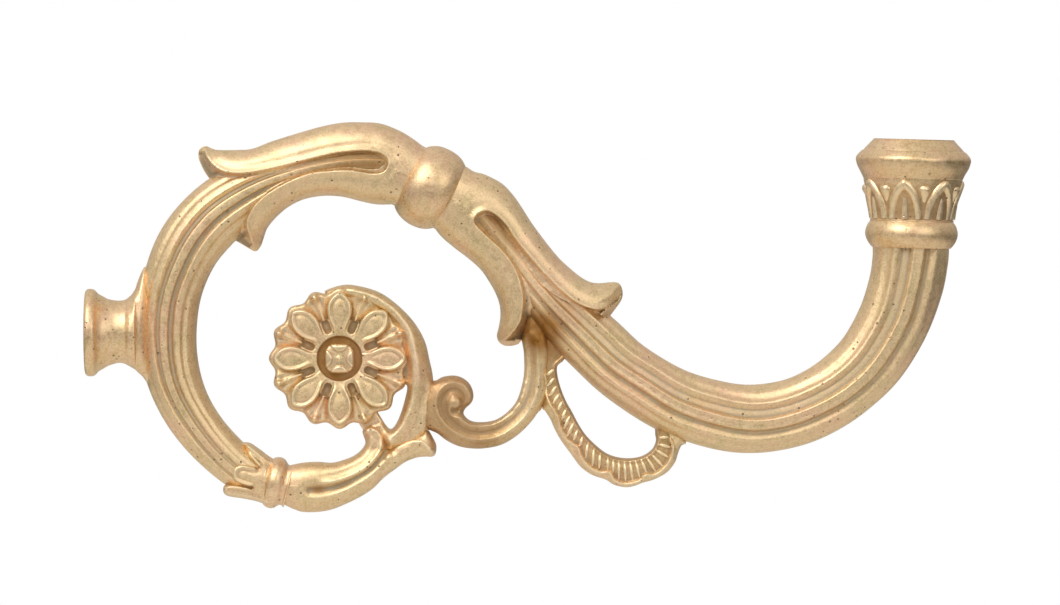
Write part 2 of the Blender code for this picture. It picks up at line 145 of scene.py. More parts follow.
def soft_light(name, place, size, watts):
    lamp = bpy.data.lights.new(name, "AREA")
    lamp.shape = "SQUARE"
    lamp.size = size
    lamp.energy = watts
    thing = bpy.data.objects.new(name, lamp)
    thing.location = place
    thing.rotation_euler = (Vector(place) - VIEW_CENTRE).to_track_quat("Z", "Y").to_euler()
    scene.collection.objects.link(thing)


soft_studio()
soft_light("key_light", (-0.35, -0.75, 0.75), 0.6, 6.0)
soft_light("fill_light", (0.75, -0.85, 0.35), 0.6, 2.0)

table = bmesh.new()
bmesh.ops.create_circle(table, cap_ends=True, radius=TABLE_RADIUS, segments=128)
bmesh.ops.translate(table, verts=table.verts, vec=(VIEW_CENTRE.x, 0.0, TABLE_HEIGHT))
floor_mesh = bpy.data.meshes.new("floor")
table.to_mesh(floor_mesh)
table.free()
floor = bpy.data.objects.new("floor", floor_mesh)
scene.collection.objects.link(floor)
pale = bpy.data.materials.new("pale_table")
pale.use_nodes = True
pale_shader = pale.node_tree.nodes["Principled BSDF"]
pale_shader.inputs["Base Color"].default_value = (0.8, 0.79, 0.77, 1.0)
pale_shader.inputs["Roughness"].default_value = 0.7
floor_mesh.materials.append(pale)

# ================================================================ the fluted arc
# The main tube of the inner half of the arm, a hollow brass casting in a front and a back half, which is
# soldered along the middle. Cast flutes run round it, and its bore carries the wire. Tumbled, unpolished,
# with dirt left in the flutes.
ARC_LINE = [  # x, z, half width, half depth
    (72.6, 39.9, 4.0, 6.1), (66.0, 40.2, 4.2, 6.2), (58.5, 39.6, 4.3, 6.2), (51.7, 38.2, 4.4, 6.2),
    (43.0, 35.4, 5.8, 6.6), (36.0, 31.7, 7.3, 7.0), (29.2, 26.2, 7.7, 7.1), (23.8, 19.2, 7.55, 7.0),
    (20.4, 10.0, 7.15, 6.8), (19.3, 0.1, 6.95, 6.6), (20.4, -8.8, 6.5, 6.4), (23.3, -16.8, 6.0, 6.0),
    (27.9, -23.8, 5.6, 5.6), (34.1, -30.1, 5.25, 5.3), (38.4, -33.1, 4.9, 5.0), (42.4, -34.75, 4.3, 4.5),
]
ARC_CUTS = [  # start, end, depth and squareness of each hollow, from the outer edge (0) to the inner edge (1)
    (0.12, 0.2, 0.4, 2), (0.32, 0.42, 1.2, 4), (0.56, 0.67, 1.2, 4), (0.78, 0.88, 0.35, 2),
]


def flowing(points, steps):
    """Points along a smooth curve through the given ones, with steps between each two."""
    points = np.array(points, float)
    before = np.vstack([points[:1], points[:-2]])
    start = points[:-1]
    end = points[1:]
    after = np.vstack([points[2:], points[-1:]])
    t = (np.arange(steps) / steps)[None, :, None]
    p0, p1, p2, p3 = (rows[:, None, :] for rows in (before, start, end, after))
    bend = 2 * p0 - 5 * p1 + 4 * p2 - p3
    twist = 3 * p1 - p0 - 3 * p2 + p3
    curve = p1 + 0.5 * t * (p2 - p0 + t * (bend + t * twist))
    return np.vstack([curve.reshape(-1, points.shape[1]), points[-1:]])


def hollows(cuts):
    """The relief of a fluted face as a curve, with each hollow cut round or square."""
    across = np.linspace(0, 1, 101)
    deep = np.zeros(101)
    for start, end, depth, square in cuts:
        off = np.clip(np.abs(2 * (across - start) / (end - start) - 1), 0, 1)
        deep = np.maximum(deep, depth * (1 - off ** square))
    for _ in range(4):
        deep[1:-1] = (deep[:-2] + 2 * deep[1:-1] + deep[2:]) / 4
    return [(float(t), float(d)) for t, d in zip(across, deep)]


def srgb(red, green, blue):
    """A shade given in display values, as the shader wants it."""
    return tuple(((v / 255 + 0.055) / 1.055) ** 2.4 for v in (red, green, blue)) + (1.0,)


def brass_finish(name, tan_shade, roughness, grain):
    """Raw tumbled brass: cloudy tints, dark pits, bright worn edges, dirt in the hollows, and painted shade
    in deep recesses.
    """
    material = bpy.data.materials.new(name)
    material.use_nodes = True
    tree = material.node_tree
    shader = tree.nodes["Principled BSDF"]
    bench = Wire(tree)
    place = bench.node("ShaderNodeTexCoord", out="Object")

    def cloud(scale, detail, shift=0.0):
        moved = bench.node("ShaderNodeMapping", {}, {"Vector": place, "Location": (shift, shift, shift)})
        return bench.node("ShaderNodeTexNoise", {}, {"Vector": moved, "Scale": scale, "Detail": detail,
                                                     "Roughness": 0.6}, out="Fac")

    def ramp(value, low, high, top=1.0):
        return bench.node("ShaderNodeMapRange", {"interpolation_type": "SMOOTHSTEP"},
                          {"Value": value, "From Min": low, "From Max": high, "To Min": 0.0, "To Max": top})

    def blend(factor, under, over):
        return bench.node("ShaderNodeMix", {"data_type": "RGBA"}, {0: factor, 6: under, 7: over}, out=2)

    worn = bench.node("ShaderNodeAttribute", {"attribute_name": "worn"}, out="Fac")
    dirt = bench.node("ShaderNodeAttribute", {"attribute_name": "dirt"}, out="Fac")
    stain = bench.node("ShaderNodeAttribute", {"attribute_name": "stain"}, out="Fac")
    broad = cloud(75.0, 3.0)
    patch = cloud(190.0, 4.0, 3.0)
    mottle = cloud(620.0, 4.0, 7.0)
    fleck = cloud(2300.0, 3.0, 11.0)
    spots = bench.node("ShaderNodeTexVoronoi", {}, {"Vector": place, "Scale": 520.0}, out="Distance")
    pits = ramp(spots, 0.17, 0.07) * ramp(cloud(130.0, 2.0, 5.0), 0.46, 0.56)
    specks = ramp(fleck, 0.62, 0.72) * ramp(mottle, 0.42, 0.6)
    grime = ramp(dirt * (0.6 + 0.8 * mottle), 0.12, 0.75)

    colour = blend(ramp(broad, 0.42, 0.66, 0.8), tan_shade, srgb(230, 184, 150))
    colour = blend(ramp(patch, 0.48, 0.7, 0.65), colour, srgb(198, 176, 120))
    colour = blend(ramp(mottle, 0.36, 0.68, 0.6), colour, srgb(240, 211, 166))
    colour = blend(ramp(fleck, 0.4, 0.66, 0.55), colour, srgb(252, 228, 188))
    colour = blend(specks * 0.75, colour, srgb(160, 118, 72))
    colour = blend(worn * (0.4 + 0.5 * mottle), colour, srgb(255, 238, 200))
    dirt_colour = blend(ramp(patch, 0.32, 0.52), srgb(158, 124, 78), srgb(160, 146, 122))
    colour = blend(grime * 0.75, colour, dirt_colour)
    # Painted shade: brown darkening in deep recesses and where parts meet.
    colour = blend(stain * (0.4 + 0.9 * patch), colour, srgb(152, 102, 36))
    colour = blend(pits * 0.8, colour, srgb(92, 66, 40))
    bench.feed(shader.inputs["Base Color"], colour)
    # The painted shade in deep recesses also makes the metal duller there.
    bench.feed(shader.inputs["Metallic"], 1.0 - 0.45 * grime - 0.4 * stain * patch - 0.4 * pits)
    rough = roughness + 0.3 * (mottle - 0.5) + 0.3 * (fleck - 0.5) + 0.15 * grime - 0.06 * worn
    bench.feed(shader.inputs["Roughness"], rough)
    relief = mottle * 0.5 + fleck * 0.3 - pits * 0.9 - specks * 0.3
    bump = bench.node("ShaderNodeBump", {}, {"Height": relief, "Strength": grain, "Distance": 0.00018})
    bench.feed(shader.inputs["Normal"], bump)
    return material


CAST = brass_finish("cast_brass", srgb(219, 189, 142), 0.48, 0.85)


def shape_tree(name, sizes):
    """A Geometry Nodes tree with a named input for each size, and those inputs as wires."""
    tree = bpy.data.node_groups.new(name, "GeometryNodeTree")
    tree.interface.new_socket(name="Geometry", in_out="INPUT", socket_type="NodeSocketGeometry")
    for size, kind in sizes.items():
        tree.interface.new_socket(name=size, in_out="INPUT", socket_type="NodeSocket" + kind)
    tree.interface.new_socket(name="Finish", in_out="INPUT", socket_type="NodeSocketMaterial")
    tree.interface.new_socket(name="Geometry", in_out="OUTPUT", socket_type="NodeSocketGeometry")
    entry = tree.nodes.new("NodeGroupInput")
    return tree, {socket.name: Wire(tree, socket) for socket in entry.outputs if socket.name}


def end_tree(geometry, finish):
    """Realizes the instances, sets the material and closes the tree."""
    whole = geometry.node("GeometryNodeRealizeInstances", {}, {"Geometry": geometry})
    coated = whole.node("GeometryNodeSetMaterial", {}, {"Geometry": whole, "Material": finish})
    output = geometry.tree.nodes.new("NodeGroupOutput")
    geometry.tree.links.new(output.inputs[0], coated.socket)


def grown(name, tree, mesh, sizes):
    """A plain piece made by running a tree on a mesh."""
    piece = bpy.data.objects.new(name, mesh)
    scene.collection.objects.link(piece)
    modifier = piece.modifiers.new("shape", "NODES")
    modifier.node_group = tree
    for socket in tree.interface.items_tree:
        if socket.name in sizes:
            modifier[socket.identifier] = sizes[socket.name]
    evaluated = piece.evaluated_get(bpy.context.evaluated_depsgraph_get())
    result = bpy.data.meshes.new_from_object(evaluated)
    piece.modifiers.remove(modifier)
    piece.data = result
    result.name = name
    return piece


def face_outwards(mesh):
    bm = bmesh.new()
    bm.from_mesh(mesh)
    bmesh.ops.recalc_face_normals(bm, faces=bm.faces)
    bm.to_mesh(mesh)
    bm.free()


def weather(piece, stain=None):
    """Finds each point's worn edges and dirty hollows from how the surface bends, and its painted shade from
    a mask.
    """
    mesh = piece.data
    mesh.shade_smooth()
    count = len(mesh.vertices)
    points = np.empty(count * 3)
    mesh.vertices.foreach_get("co", points)
    points = points.reshape(-1, 3) / MM
    normals = np.empty(count * 3)
    mesh.vertices.foreach_get("normal", normals)
    normals = normals.reshape(-1, 3)
    edges = np.empty(len(mesh.edges) * 2, int)
    mesh.edges.foreach_get("vertices", edges)
    one, two = edges.reshape(-1, 2).T
    share = np.bincount(one, minlength=count) + np.bincount(two, minlength=count)
    share = np.maximum(share, 1)

    def spread(values):
        total = np.bincount(one, values[two], count) + np.bincount(two, values[one], count)
        return total / share

    length = np.linalg.norm(points[one] - points[two], axis=1)
    reach = (np.bincount(one, length ** 2, count) + np.bincount(two, length ** 2, count)) / share
    middle = np.column_stack([spread(points[:, k]) for k in range(3)])
    bend = 4 * ((points - middle) * normals).sum(1) / np.maximum(reach, 1e-6)
    bend = np.clip(bend, -4, 4)
    for _ in range(6):
        bend = 0.4 * bend + 0.6 * spread(bend)
    settled = points.copy()
    for _ in range(24):
        settled = np.column_stack([spread(settled[:, k]) for k in range(3)])
    depth = ((points - settled) * normals).sum(1)
    worn = np.clip((bend - 0.35) * 0.55, 0, 1)
    dirt = np.clip(-(bend + 0.12) * 0.5, 0, 1) + np.clip(-(depth + 0.02) * 2.2, 0, 0.7)
    if "hollow" in mesh.attributes:
        flutes = np.empty(count, np.float32)
        mesh.attributes["hollow"].data.foreach_get("value", flutes)
        dirt += 0.6 * np.clip(flutes - 0.35, 0, 1)
    # Painted shade: the mask, if given, darkens deep hollows and the places where parts meet.
    spots = np.zeros(count) if stain is None else stain(points)
    for name, values in (("worn", worn), ("dirt", np.clip(dirt, 0, 1)), ("stain", np.clip(spots, 0, 1))):
        layer = mesh.attributes.new(name, "FLOAT", "POINT")
        layer.data.foreach_set("value", values.astype(np.float32))


def fit(piece, node, stain=None):
    """Weathers a finished piece, painting shade where a mask gives it, and fixes it to the arm, in place of
    its CAD node.
    """
    weather(piece, stain)
    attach(piece, "root")
    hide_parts(node)


def fluted_tree(cuts):
    """A half tube swept along a line, with flutes pressed into its outer skin; they may drift across it."""
    sizes = {"Outer Points": "Int", "Inner Points": "Int", "Bore": "Float", "Joint": "Float",
             "Facing": "Float"}
    tree, given = shape_tree("fluted_half_tube", sizes)
    start = given["Geometry"]
    line = start.node("GeometryNodeMeshToCurve", {}, {"Mesh": start})
    line = line.node("GeometryNodeSetCurveNormal", {"mode": "FREE"},
                     {"Curve": line, "Normal": (0.0, 1.0, 0.0)})
    here = start.node("GeometryNodeInputPosition")
    line = line.node("GeometryNodeStoreNamedAttribute", {"data_type": "FLOAT_VECTOR", "domain": "POINT"},
                     {"Geometry": line, "Name": "centre", "Value": here})
    outer = given["Outer Points"]
    inner = given["Inner Points"]
    index = start.node("GeometryNodeInputIndex")
    outside = start.maths("LESS_THAN", index, outer)
    angle = outside * index / (outer - 1.0) + (1.0 - outside) * (outer + inner - 1.0 - index) / (inner - 1.0)
    angle = angle * pi
    size = outside + (1.0 - outside) * given["Bore"]
    across = start.maths("COSINE", angle)
    rise = start.maths("SINE", angle)
    spot = start.node("ShaderNodeCombineXYZ", {}, {0: given["Facing"] * (size * rise + given["Joint"]),
                                                   1: size * across})
    section = start.node("GeometryNodeCurvePrimitiveCircle", {"mode": "RADIUS"},
                         {"Resolution": outer + inner, "Radius": 1.0})
    section = section.node("GeometryNodeSetPosition", {}, {"Geometry": section, "Position": spot})
    for name, value in (("across", across), ("outside", outside)):
        section = section.node("GeometryNodeStoreNamedAttribute", {"data_type": "FLOAT", "domain": "POINT"},
                               {"Geometry": section, "Name": name, "Value": value})

    def named(name, kind="FLOAT"):
        return start.node("GeometryNodeInputNamedAttribute", {"data_type": kind}, {"Name": name})

    tube = start.node("GeometryNodeCurveToMesh", {}, {"Curve": line, "Profile Curve": section,
                                                      "Scale": named("half_width"), "Fill Caps": True})
    centre = named("centre", "FLOAT_VECTOR")
    offset = start.node("ShaderNodeVectorMath", {"operation": "SUBTRACT"}, {0: here, 1: centre})
    deep = start.node("ShaderNodeCombineXYZ", {}, {0: 1.0, 1: named("depth_ratio"), 2: 1.0})
    stretched = start.node("ShaderNodeVectorMath", {"operation": "MULTIPLY"}, {0: here, 1: deep})
    tube = tube.node("GeometryNodeSetPosition", {}, {"Geometry": tube, "Position": stretched})
    outwards = start.node("ShaderNodeVectorMath", {"operation": "NORMALIZE"}, {0: offset})
    spot = named("across") * 0.5 + 0.5 + named("drift")
    pressed = start.node("ShaderNodeFloatCurve", {"curve": hollows(cuts)}, {"Value": spot})
    hollow = pressed * named("outside")
    tube = tube.node("GeometryNodeStoreNamedAttribute", {"data_type": "FLOAT", "domain": "POINT"},
                     {"Geometry": tube, "Name": "hollow", "Value": hollow})
    push = hollow * named("flute_depth") * -1.0
    push = start.node("ShaderNodeVectorMath", {"operation": "SCALE"}, {0: outwards, "Scale": push})
    tube = tube.node("GeometryNodeSetPosition", {}, {"Geometry": tube, "Offset": push})
    end_tree(tube, given["Finish"])
    return tree


def line_mesh(name, lines, values):
    """Lines of points in metres, with a number at each point for each named value."""
    mesh = bpy.data.meshes.new(name)
    points = []
    steps = []
    for line in lines:
        first = len(points)
        points += [tuple(point) for point in line]
        steps += [(k, k + 1) for k in range(first, len(points) - 1)]
    mesh.from_pydata(points, steps, [])
    for label, numbers in values.items():
        layer = mesh.attributes.new(label, "FLOAT", "POINT")
        layer.data.foreach_set("value", np.asarray(numbers, np.float32))
    return mesh


def half_tube(name, tree, line, facing, flute, drift):
    rows = flowing(line, 15)
    run = np.concatenate([[0], np.cumsum(np.hypot(*np.diff(rows[:, :2], axis=0).T))])
    shift = np.interp(run / run[-1], *drift) + 0.012 * np.sin(run / 6.1 + 1) + 0.008 * np.sin(run / 3.3)
    centres = np.column_stack([rows[:, 0], np.zeros(len(rows)), rows[:, 1]]) * MM
    values = {"half_width": rows[:, 2] * MM, "depth_ratio": rows[:, 3] / rows[:, 2],
              "flute_depth": flute(rows) * MM, "drift": shift}
    mesh = line_mesh(name, [centres], values)
    sizes = {"Outer Points": 190, "Inner Points": 16, "Bore": 0.76, "Joint": 0.004, "Facing": facing,
             "Finish": CAST}
    piece = grown(name, tree, mesh, sizes)
    face_outwards(piece.data)
    return piece


def arc_flute(rows):
    """The flutes are deepest on the free arc and die away under the leaf's slot."""
    return np.clip((rows[:, 2] - 4.3) / 2.2, 0.12, 1.0)


def arc_slot_shade(points):
    """Painted shade in the closed end of the leaf's slot."""
    return 0.7 * np.clip((points[:, 0] - 48) / 12, 0, 1) * (points[:, 2] > 30)


def drill(piece, radius, start, end):
    """Cuts a round hole and leaves a plain mesh."""
    bm = bmesh.new()
    axis = Vector(end) - Vector(start)
    bmesh.ops.create_cone(bm, cap_ends=True, segments=64, radius1=radius, radius2=radius, depth=axis.length)
    turn = axis.to_track_quat("Z", "Y").to_matrix()
    bmesh.ops.rotate(bm, verts=bm.verts, cent=(0, 0, 0), matrix=turn)
    bmesh.ops.translate(bm, verts=bm.verts, vec=(Vector(start) + Vector(end)) / 2)
    mesh = bpy.data.meshes.new("drill")
    bm.to_mesh(mesh)
    bm.free()
    bit = bpy.data.objects.new("drill", mesh)
    scene.collection.objects.link(bit)
    cutting = piece.modifiers.new("hole", "BOOLEAN")
    cutting.object = bit
    cutting.solver = "EXACT"
    evaluated = piece.evaluated_get(bpy.context.evaluated_depsgraph_get())
    result = bpy.data.meshes.new_from_object(evaluated)
    piece.modifiers.clear()
    piece.data = result
    bpy.data.objects.remove(bit)


ARC_DRIFT = ([0.0, 0.4, 0.65, 0.92, 1.0], [-0.02, 0.0, 0.04, 0.1, 0.1])
BORE_RADIUS = 4.35
arc_tree = fluted_tree(ARC_CUTS)
for node, facing in (("root_tube_front", -1.0), ("root_tube_back", 1.0)):
    arc = half_tube("arc_" + node[10:], arc_tree, ARC_LINE, facing, arc_flute, ARC_DRIFT)
    drill(arc, BORE_RADIUS * MM, (9 * MM, 0, 0), (19 * MM, 0, 0))
    fit(arc, node, arc_slot_shade)

# ================================================================ mounting flange
# The turned brass foot that screws the arm to the lamp's stem: a rim, a hollowed neck and a raised bead. It
# is brazed to the arc, over which the neck flares above and below. Its bore is tapped for the standard lamp
# thread.
TURNED = brass_finish("turned_brass", srgb(214, 178, 127), 0.43, 0.75)
FLANGE_RINGS = [  # x, radius to front and back, radius up, radius down
    (0.45, 4.9, 4.9, 4.9), (0.0, 5.3, 5.3, 5.3), (0.0, 7.5, 7.5, 7.5), (0.05, 9.3, 9.3, 9.3),
    (0.25, 9.85, 9.85, 9.85), (0.7, 10.2, 10.2, 10.25), (1.4, 10.25, 10.25, 10.3), (2.1, 10.1, 10.1, 10.2),
    (2.55, 9.75, 9.75, 9.9), (2.8, 9.35, 9.45, 9.6), (3.3, 8.75, 9.0, 9.1), (4.2, 8.1, 8.55, 8.6),
    (5.4, 7.65, 7.9, 7.9), (6.8, 7.35, 7.6, 7.4), (8.0, 7.3, 7.5, 7.15), (9.0, 7.35, 7.6, 7.25),
    (9.7, 7.45, 7.85, 7.5), (10.1, 7.75, 8.15, 7.75), (10.6, 8.05, 8.55, 8.0), (11.1, 8.15, 9.1, 8.3),
    (11.6, 8.15, 9.85, 8.6), (11.95, 8.0, 10.5, 8.85), (12.1, 7.6, 11.0, 9.0), (12.25, 7.3, 11.6, 9.15),
    (12.7, 6.9, 12.7, 9.6), (13.3, 6.5, 14.2, 10.1), (14.0, 5.9, 15.4, 10.9), (14.8, 5.0, 15.0, 12.0),
    (15.8, 4.4, 12.0, 11.0), (16.2, 4.5, 6.0, 6.0), (16.2, 4.2, 4.2, 4.2), (0.9, 4.2, 4.2, 4.2),
]


def closed_skin(name, rings, finish):
    """A closed body through rings of points in millimetres; the last ring joins the first."""
    bm = bmesh.new()
    loops = [[bm.verts.new(Vector(point) * MM) for point in ring] for ring in rings]
    for here, there in zip(loops, loops[1:] + loops[:1]):
        for k in range(len(here)):
            n = (k + 1) % len(here)
            bm.faces.new((here[k], here[n], there[n], there[k]))
    bmesh.ops.remove_doubles(bm, verts=bm.verts, dist=1e-7)
    bmesh.ops.recalc_face_normals(bm, faces=bm.faces)
    mesh = bpy.data.meshes.new(name)
    bm.to_mesh(mesh)
    bm.free()
    mesh.materials.append(finish)
    piece = bpy.data.objects.new(name, mesh)
    scene.collection.objects.link(piece)
    return piece


def rough_cast(points, seed, size=0.035):
    """The slight unevenness of a sand casting, as a height at each point."""
    dice = np.random.default_rng(seed)
    total = np.zeros(len(points))
    for _ in range(14):
        way = dice.normal(size=points.shape[1])
        way /= np.linalg.norm(way)
        pitch = dice.uniform(1.6, 7.0)
        total += np.sin(points @ way * 2 * pi / pitch + dice.uniform(0, 2 * pi)) * pitch / 7.0
    return total * size / 2.2


def flange(sides=144):
    """Rings that are round at the rim and grow squarer where the neck flares into the arc."""
    rings = []
    for x, deep, up, down in flowing(FLANGE_RINGS, 4):
        squareness = float(np.interp(x, (11.0, 13.5), (1.0, 0.8)))
        ring = []
        for k in range(sides):
            angle = 2 * pi * k / sides
            height = up if sin(angle) > 0 else down
            aside = abs(cos(angle)) ** squareness
            ring.append((x, deep * aside * (1 if cos(angle) > 0 else -1), height * sin(angle)))
        rings.append(ring)
    return closed_skin("flange", rings, TURNED)


def thread_tree():
    """A screw thread: a ridge of triangular section wound into a helix."""
    sizes = {"Turns": "Float", "Radius": "Float", "Length": "Float", "Depth": "Float"}
    tree, given = shape_tree("thread", sizes)
    start = given["Geometry"]
    helix = start.node("GeometryNodeCurveSpiral", {}, {
        "Resolution": 40, "Rotations": given["Turns"], "Start Radius": given["Radius"],
        "End Radius": given["Radius"], "Height": given["Length"]})
    section = start.node("GeometryNodeCurvePrimitiveCircle", {"mode": "RADIUS"},
                         {"Resolution": 3, "Radius": given["Depth"]})
    ridge = start.node("GeometryNodeCurveToMesh", {}, {"Curve": helix, "Profile Curve": section,
                                                       "Fill Caps": True})
    end_tree(ridge, given["Finish"])
    return tree


THREAD_PITCH = 0.94
THREAD_RADIUS = 4.42
THREAD_DEPTH = 0.42
THREAD_LENGTH = 11.0
thread_maker = thread_tree()


def thread(name, base, axis):
    """Threads a bore from its base, along its axis."""
    sizes = {"Turns": THREAD_LENGTH / THREAD_PITCH, "Radius": THREAD_RADIUS * MM,
             "Length": THREAD_LENGTH * MM, "Depth": THREAD_DEPTH * MM, "Finish": TURNED}
    piece = grown(name, thread_maker, bpy.data.meshes.new(name), sizes)
    turn = axis.to_track_quat("Z", "Y").to_matrix().to_4x4()
    turn.translation = Vector(base) * MM
    piece.data.transform(turn)
    face_outwards(piece.data)
    return piece


for piece in (flange(), thread("flange_thread", (1.0, 0, 0), Vector((1, 0, 0)))):
    fit(piece, "mounting_flange")

# ================================================================ inner leaf sleeve
# A cast leaf that grips the arc's end between two tongues, one along its top and one inside the bend. A bead
# runs along the slot between them, and the leaf swells into a bulb where it meets the knop. Screwed on from
# the knop.
INNER_TOP = [
    (29.6, 35.7), (28.1, 37.9), (27.1, 40.0), (26.7, 41.5), (27.0, 43.1), (28.4, 43.8), (30.0, 43.2),
    (31.3, 42.9), (35.8, 42.9), (39.4, 43.2), (43.9, 44.9), (49.3, 46.6), (55.6, 48.4), (60.5, 49.3),
    (65.0, 49.4), (69.5, 49.1), (74.0, 47.4), (77.0, 45.6), (79.4, 43.8),
]
INNER_LOW = [
    (72.2, 30.1), (68.6, 30.1), (65.0, 30.8), (60.5, 31.9), (56.0, 32.1), (51.5, 31.3), (48.0, 29.6),
    (45.3, 27.4), (43.0, 24.7), (42.1, 22.4), (41.4, 20.4), (40.3, 19.1), (39.0, 19.5), (37.2, 20.6),
    (35.4, 21.6),
]
INNER_FLOOR = [
    (35.4, 21.6), (36.0, 22.9), (36.7, 25.6), (38.1, 28.3), (40.3, 31.0), (43.5, 33.7), (46.6, 35.5),
    (50.2, 37.1), (53.8, 38.2), (58.3, 39.0), (62.8, 39.2), (67.3, 39.0), (69.1, 39.2), (69.9, 40.0),
    (69.3, 41.1), (67.3, 41.7), (62.8, 41.7), (59.2, 41.1), (53.8, 40.0), (49.3, 38.6), (46.6, 37.7),
    (42.6, 37.1), (39.4, 36.6), (35.8, 36.3), (31.3, 36.0), (29.6, 35.7),
]
INNER_RIDGE = [
    (28.4, 42.7), (29.7, 40.0), (32.7, 38.0), (37.2, 37.6), (41.7, 38.2), (47.5, 39.5), (52.9, 40.9),
    (58.3, 42.2), (62.8, 42.8), (66.4, 42.9), (69.5, 42.4), (71.2, 41.1), (71.5, 39.3), (70.2, 37.6),
    (67.7, 37.2), (65.0, 37.6), (61.9, 38.0), (57.4, 37.8), (53.3, 37.3), (49.3, 35.9), (45.7, 34.1),
    (42.6, 32.1), (39.9, 29.4), (38.3, 26.0), (38.9, 22.9), (39.6, 20.9),
]


def gap_to(points, line):
    """Distance from each point to a line through many points."""
    line = np.asarray(line, float)
    best = np.full(len(points), np.inf)
    for start, end in zip(line[:-1], line[1:]):
        along = end - start
        t = np.clip(((points - start) @ along) / max(along @ along, 1e-12), 0, 1)
        off = points - start - t[:, None] * along
        best = np.minimum(best, off[:, 0] ** 2 + off[:, 1] ** 2)
    return np.sqrt(best)


def closed(line):
    """The line with its first point again at its end."""
    return np.vstack([line, line[:1]])


def off_spot(points, x, z):
    """How far each point is from a spot, seen from the front."""
    return np.hypot(points[:, 0] - x, points[:, -1] - z)


def within(points, outline):
    """Which points lie inside a closed outline."""
    hits = np.zeros(len(points), bool)
    for (x1, z1), (x2, z2) in zip(outline, np.roll(outline, -1, axis=0)):
        crosses = (z1 > points[:, 1]) != (z2 > points[:, 1])
        if z1 != z2:
            hits ^= crosses & (points[:, 0] < x1 + (points[:, 1] - z1) * (x2 - x1) / (z2 - z1))
    return hits


def evenly(line, pitch):
    """The same line with points a pitch apart."""
    line = np.asarray(line, float)
    run = np.concatenate([[0], np.cumsum(np.linalg.norm(np.diff(line, axis=0), axis=1))])
    spots = np.linspace(0, run[-1], max(int(round(run[-1] / pitch)), 2) + 1)
    return np.column_stack([np.interp(spots, run, line[:, k]) for k in range(line.shape[1])])


def swelling(outline, pitch=0.5, rounds=1500):
    """Half thickness of a form blown up from its outline: a straight strip comes out round."""
    outline = np.asarray(outline, float)
    low = outline.min(axis=0) - 2 * pitch
    size = np.ceil((outline.max(axis=0) - low) / pitch).astype(int) + 3
    xs, zs = np.meshgrid(np.arange(size[0]), np.arange(size[1]), indexing="ij")
    grid = np.column_stack([xs.ravel(), zs.ravel()]) * pitch + low
    inside = within(grid, outline).reshape(size)
    ring = closed(outline)
    gap = gap_to(grid, ring).reshape(size)
    height = np.zeros(size)
    body = inside[1:-1, 1:-1]
    for _ in range(rounds):
        around = height[:-2, 1:-1] + height[2:, 1:-1] + height[1:-1, :-2] + height[1:-1, 2:]
        height[1:-1, 1:-1] = (around + pitch * pitch) / 4 * body
    known = inside & (gap > 1.3 * pitch)
    slope = np.where(known, height / np.maximum(gap, 1e-6), 0)
    for _ in range(8):
        weight = known.astype(float)
        total = np.zeros(size)
        parts = np.zeros(size)
        for shift in ((0, 1), (0, -1), (1, 0), (-1, 0)):
            total += np.roll(slope * weight, shift, axis=(0, 1))
            parts += np.roll(weight, shift, axis=(0, 1))
        fresh = ~known & (parts > 0)
        slope[fresh] = total[fresh] / parts[fresh]
        known |= fresh

    def half_thickness(points):
        spot = np.clip((points - low) / pitch, 0, size - 1.001)
        cell = spot.astype(int)
        part = spot - cell
        x, z = cell.T
        u, v = part.T
        near = slope[x, z] * (1 - u) * (1 - v) + slope[x + 1, z] * u * (1 - v)
        far = slope[x, z + 1] * (1 - u) * v + slope[x + 1, z + 1] * u * v
        return np.sqrt(2 * np.maximum((near + far) * gap_to(points, ring), 0))

    return half_thickness


def no_deeper(height, limit, hardness=5):
    """Holds a height under a limit without a kink."""
    return (np.maximum(height, 1e-3) ** -hardness + limit ** -hardness) ** (-1 / hardness)


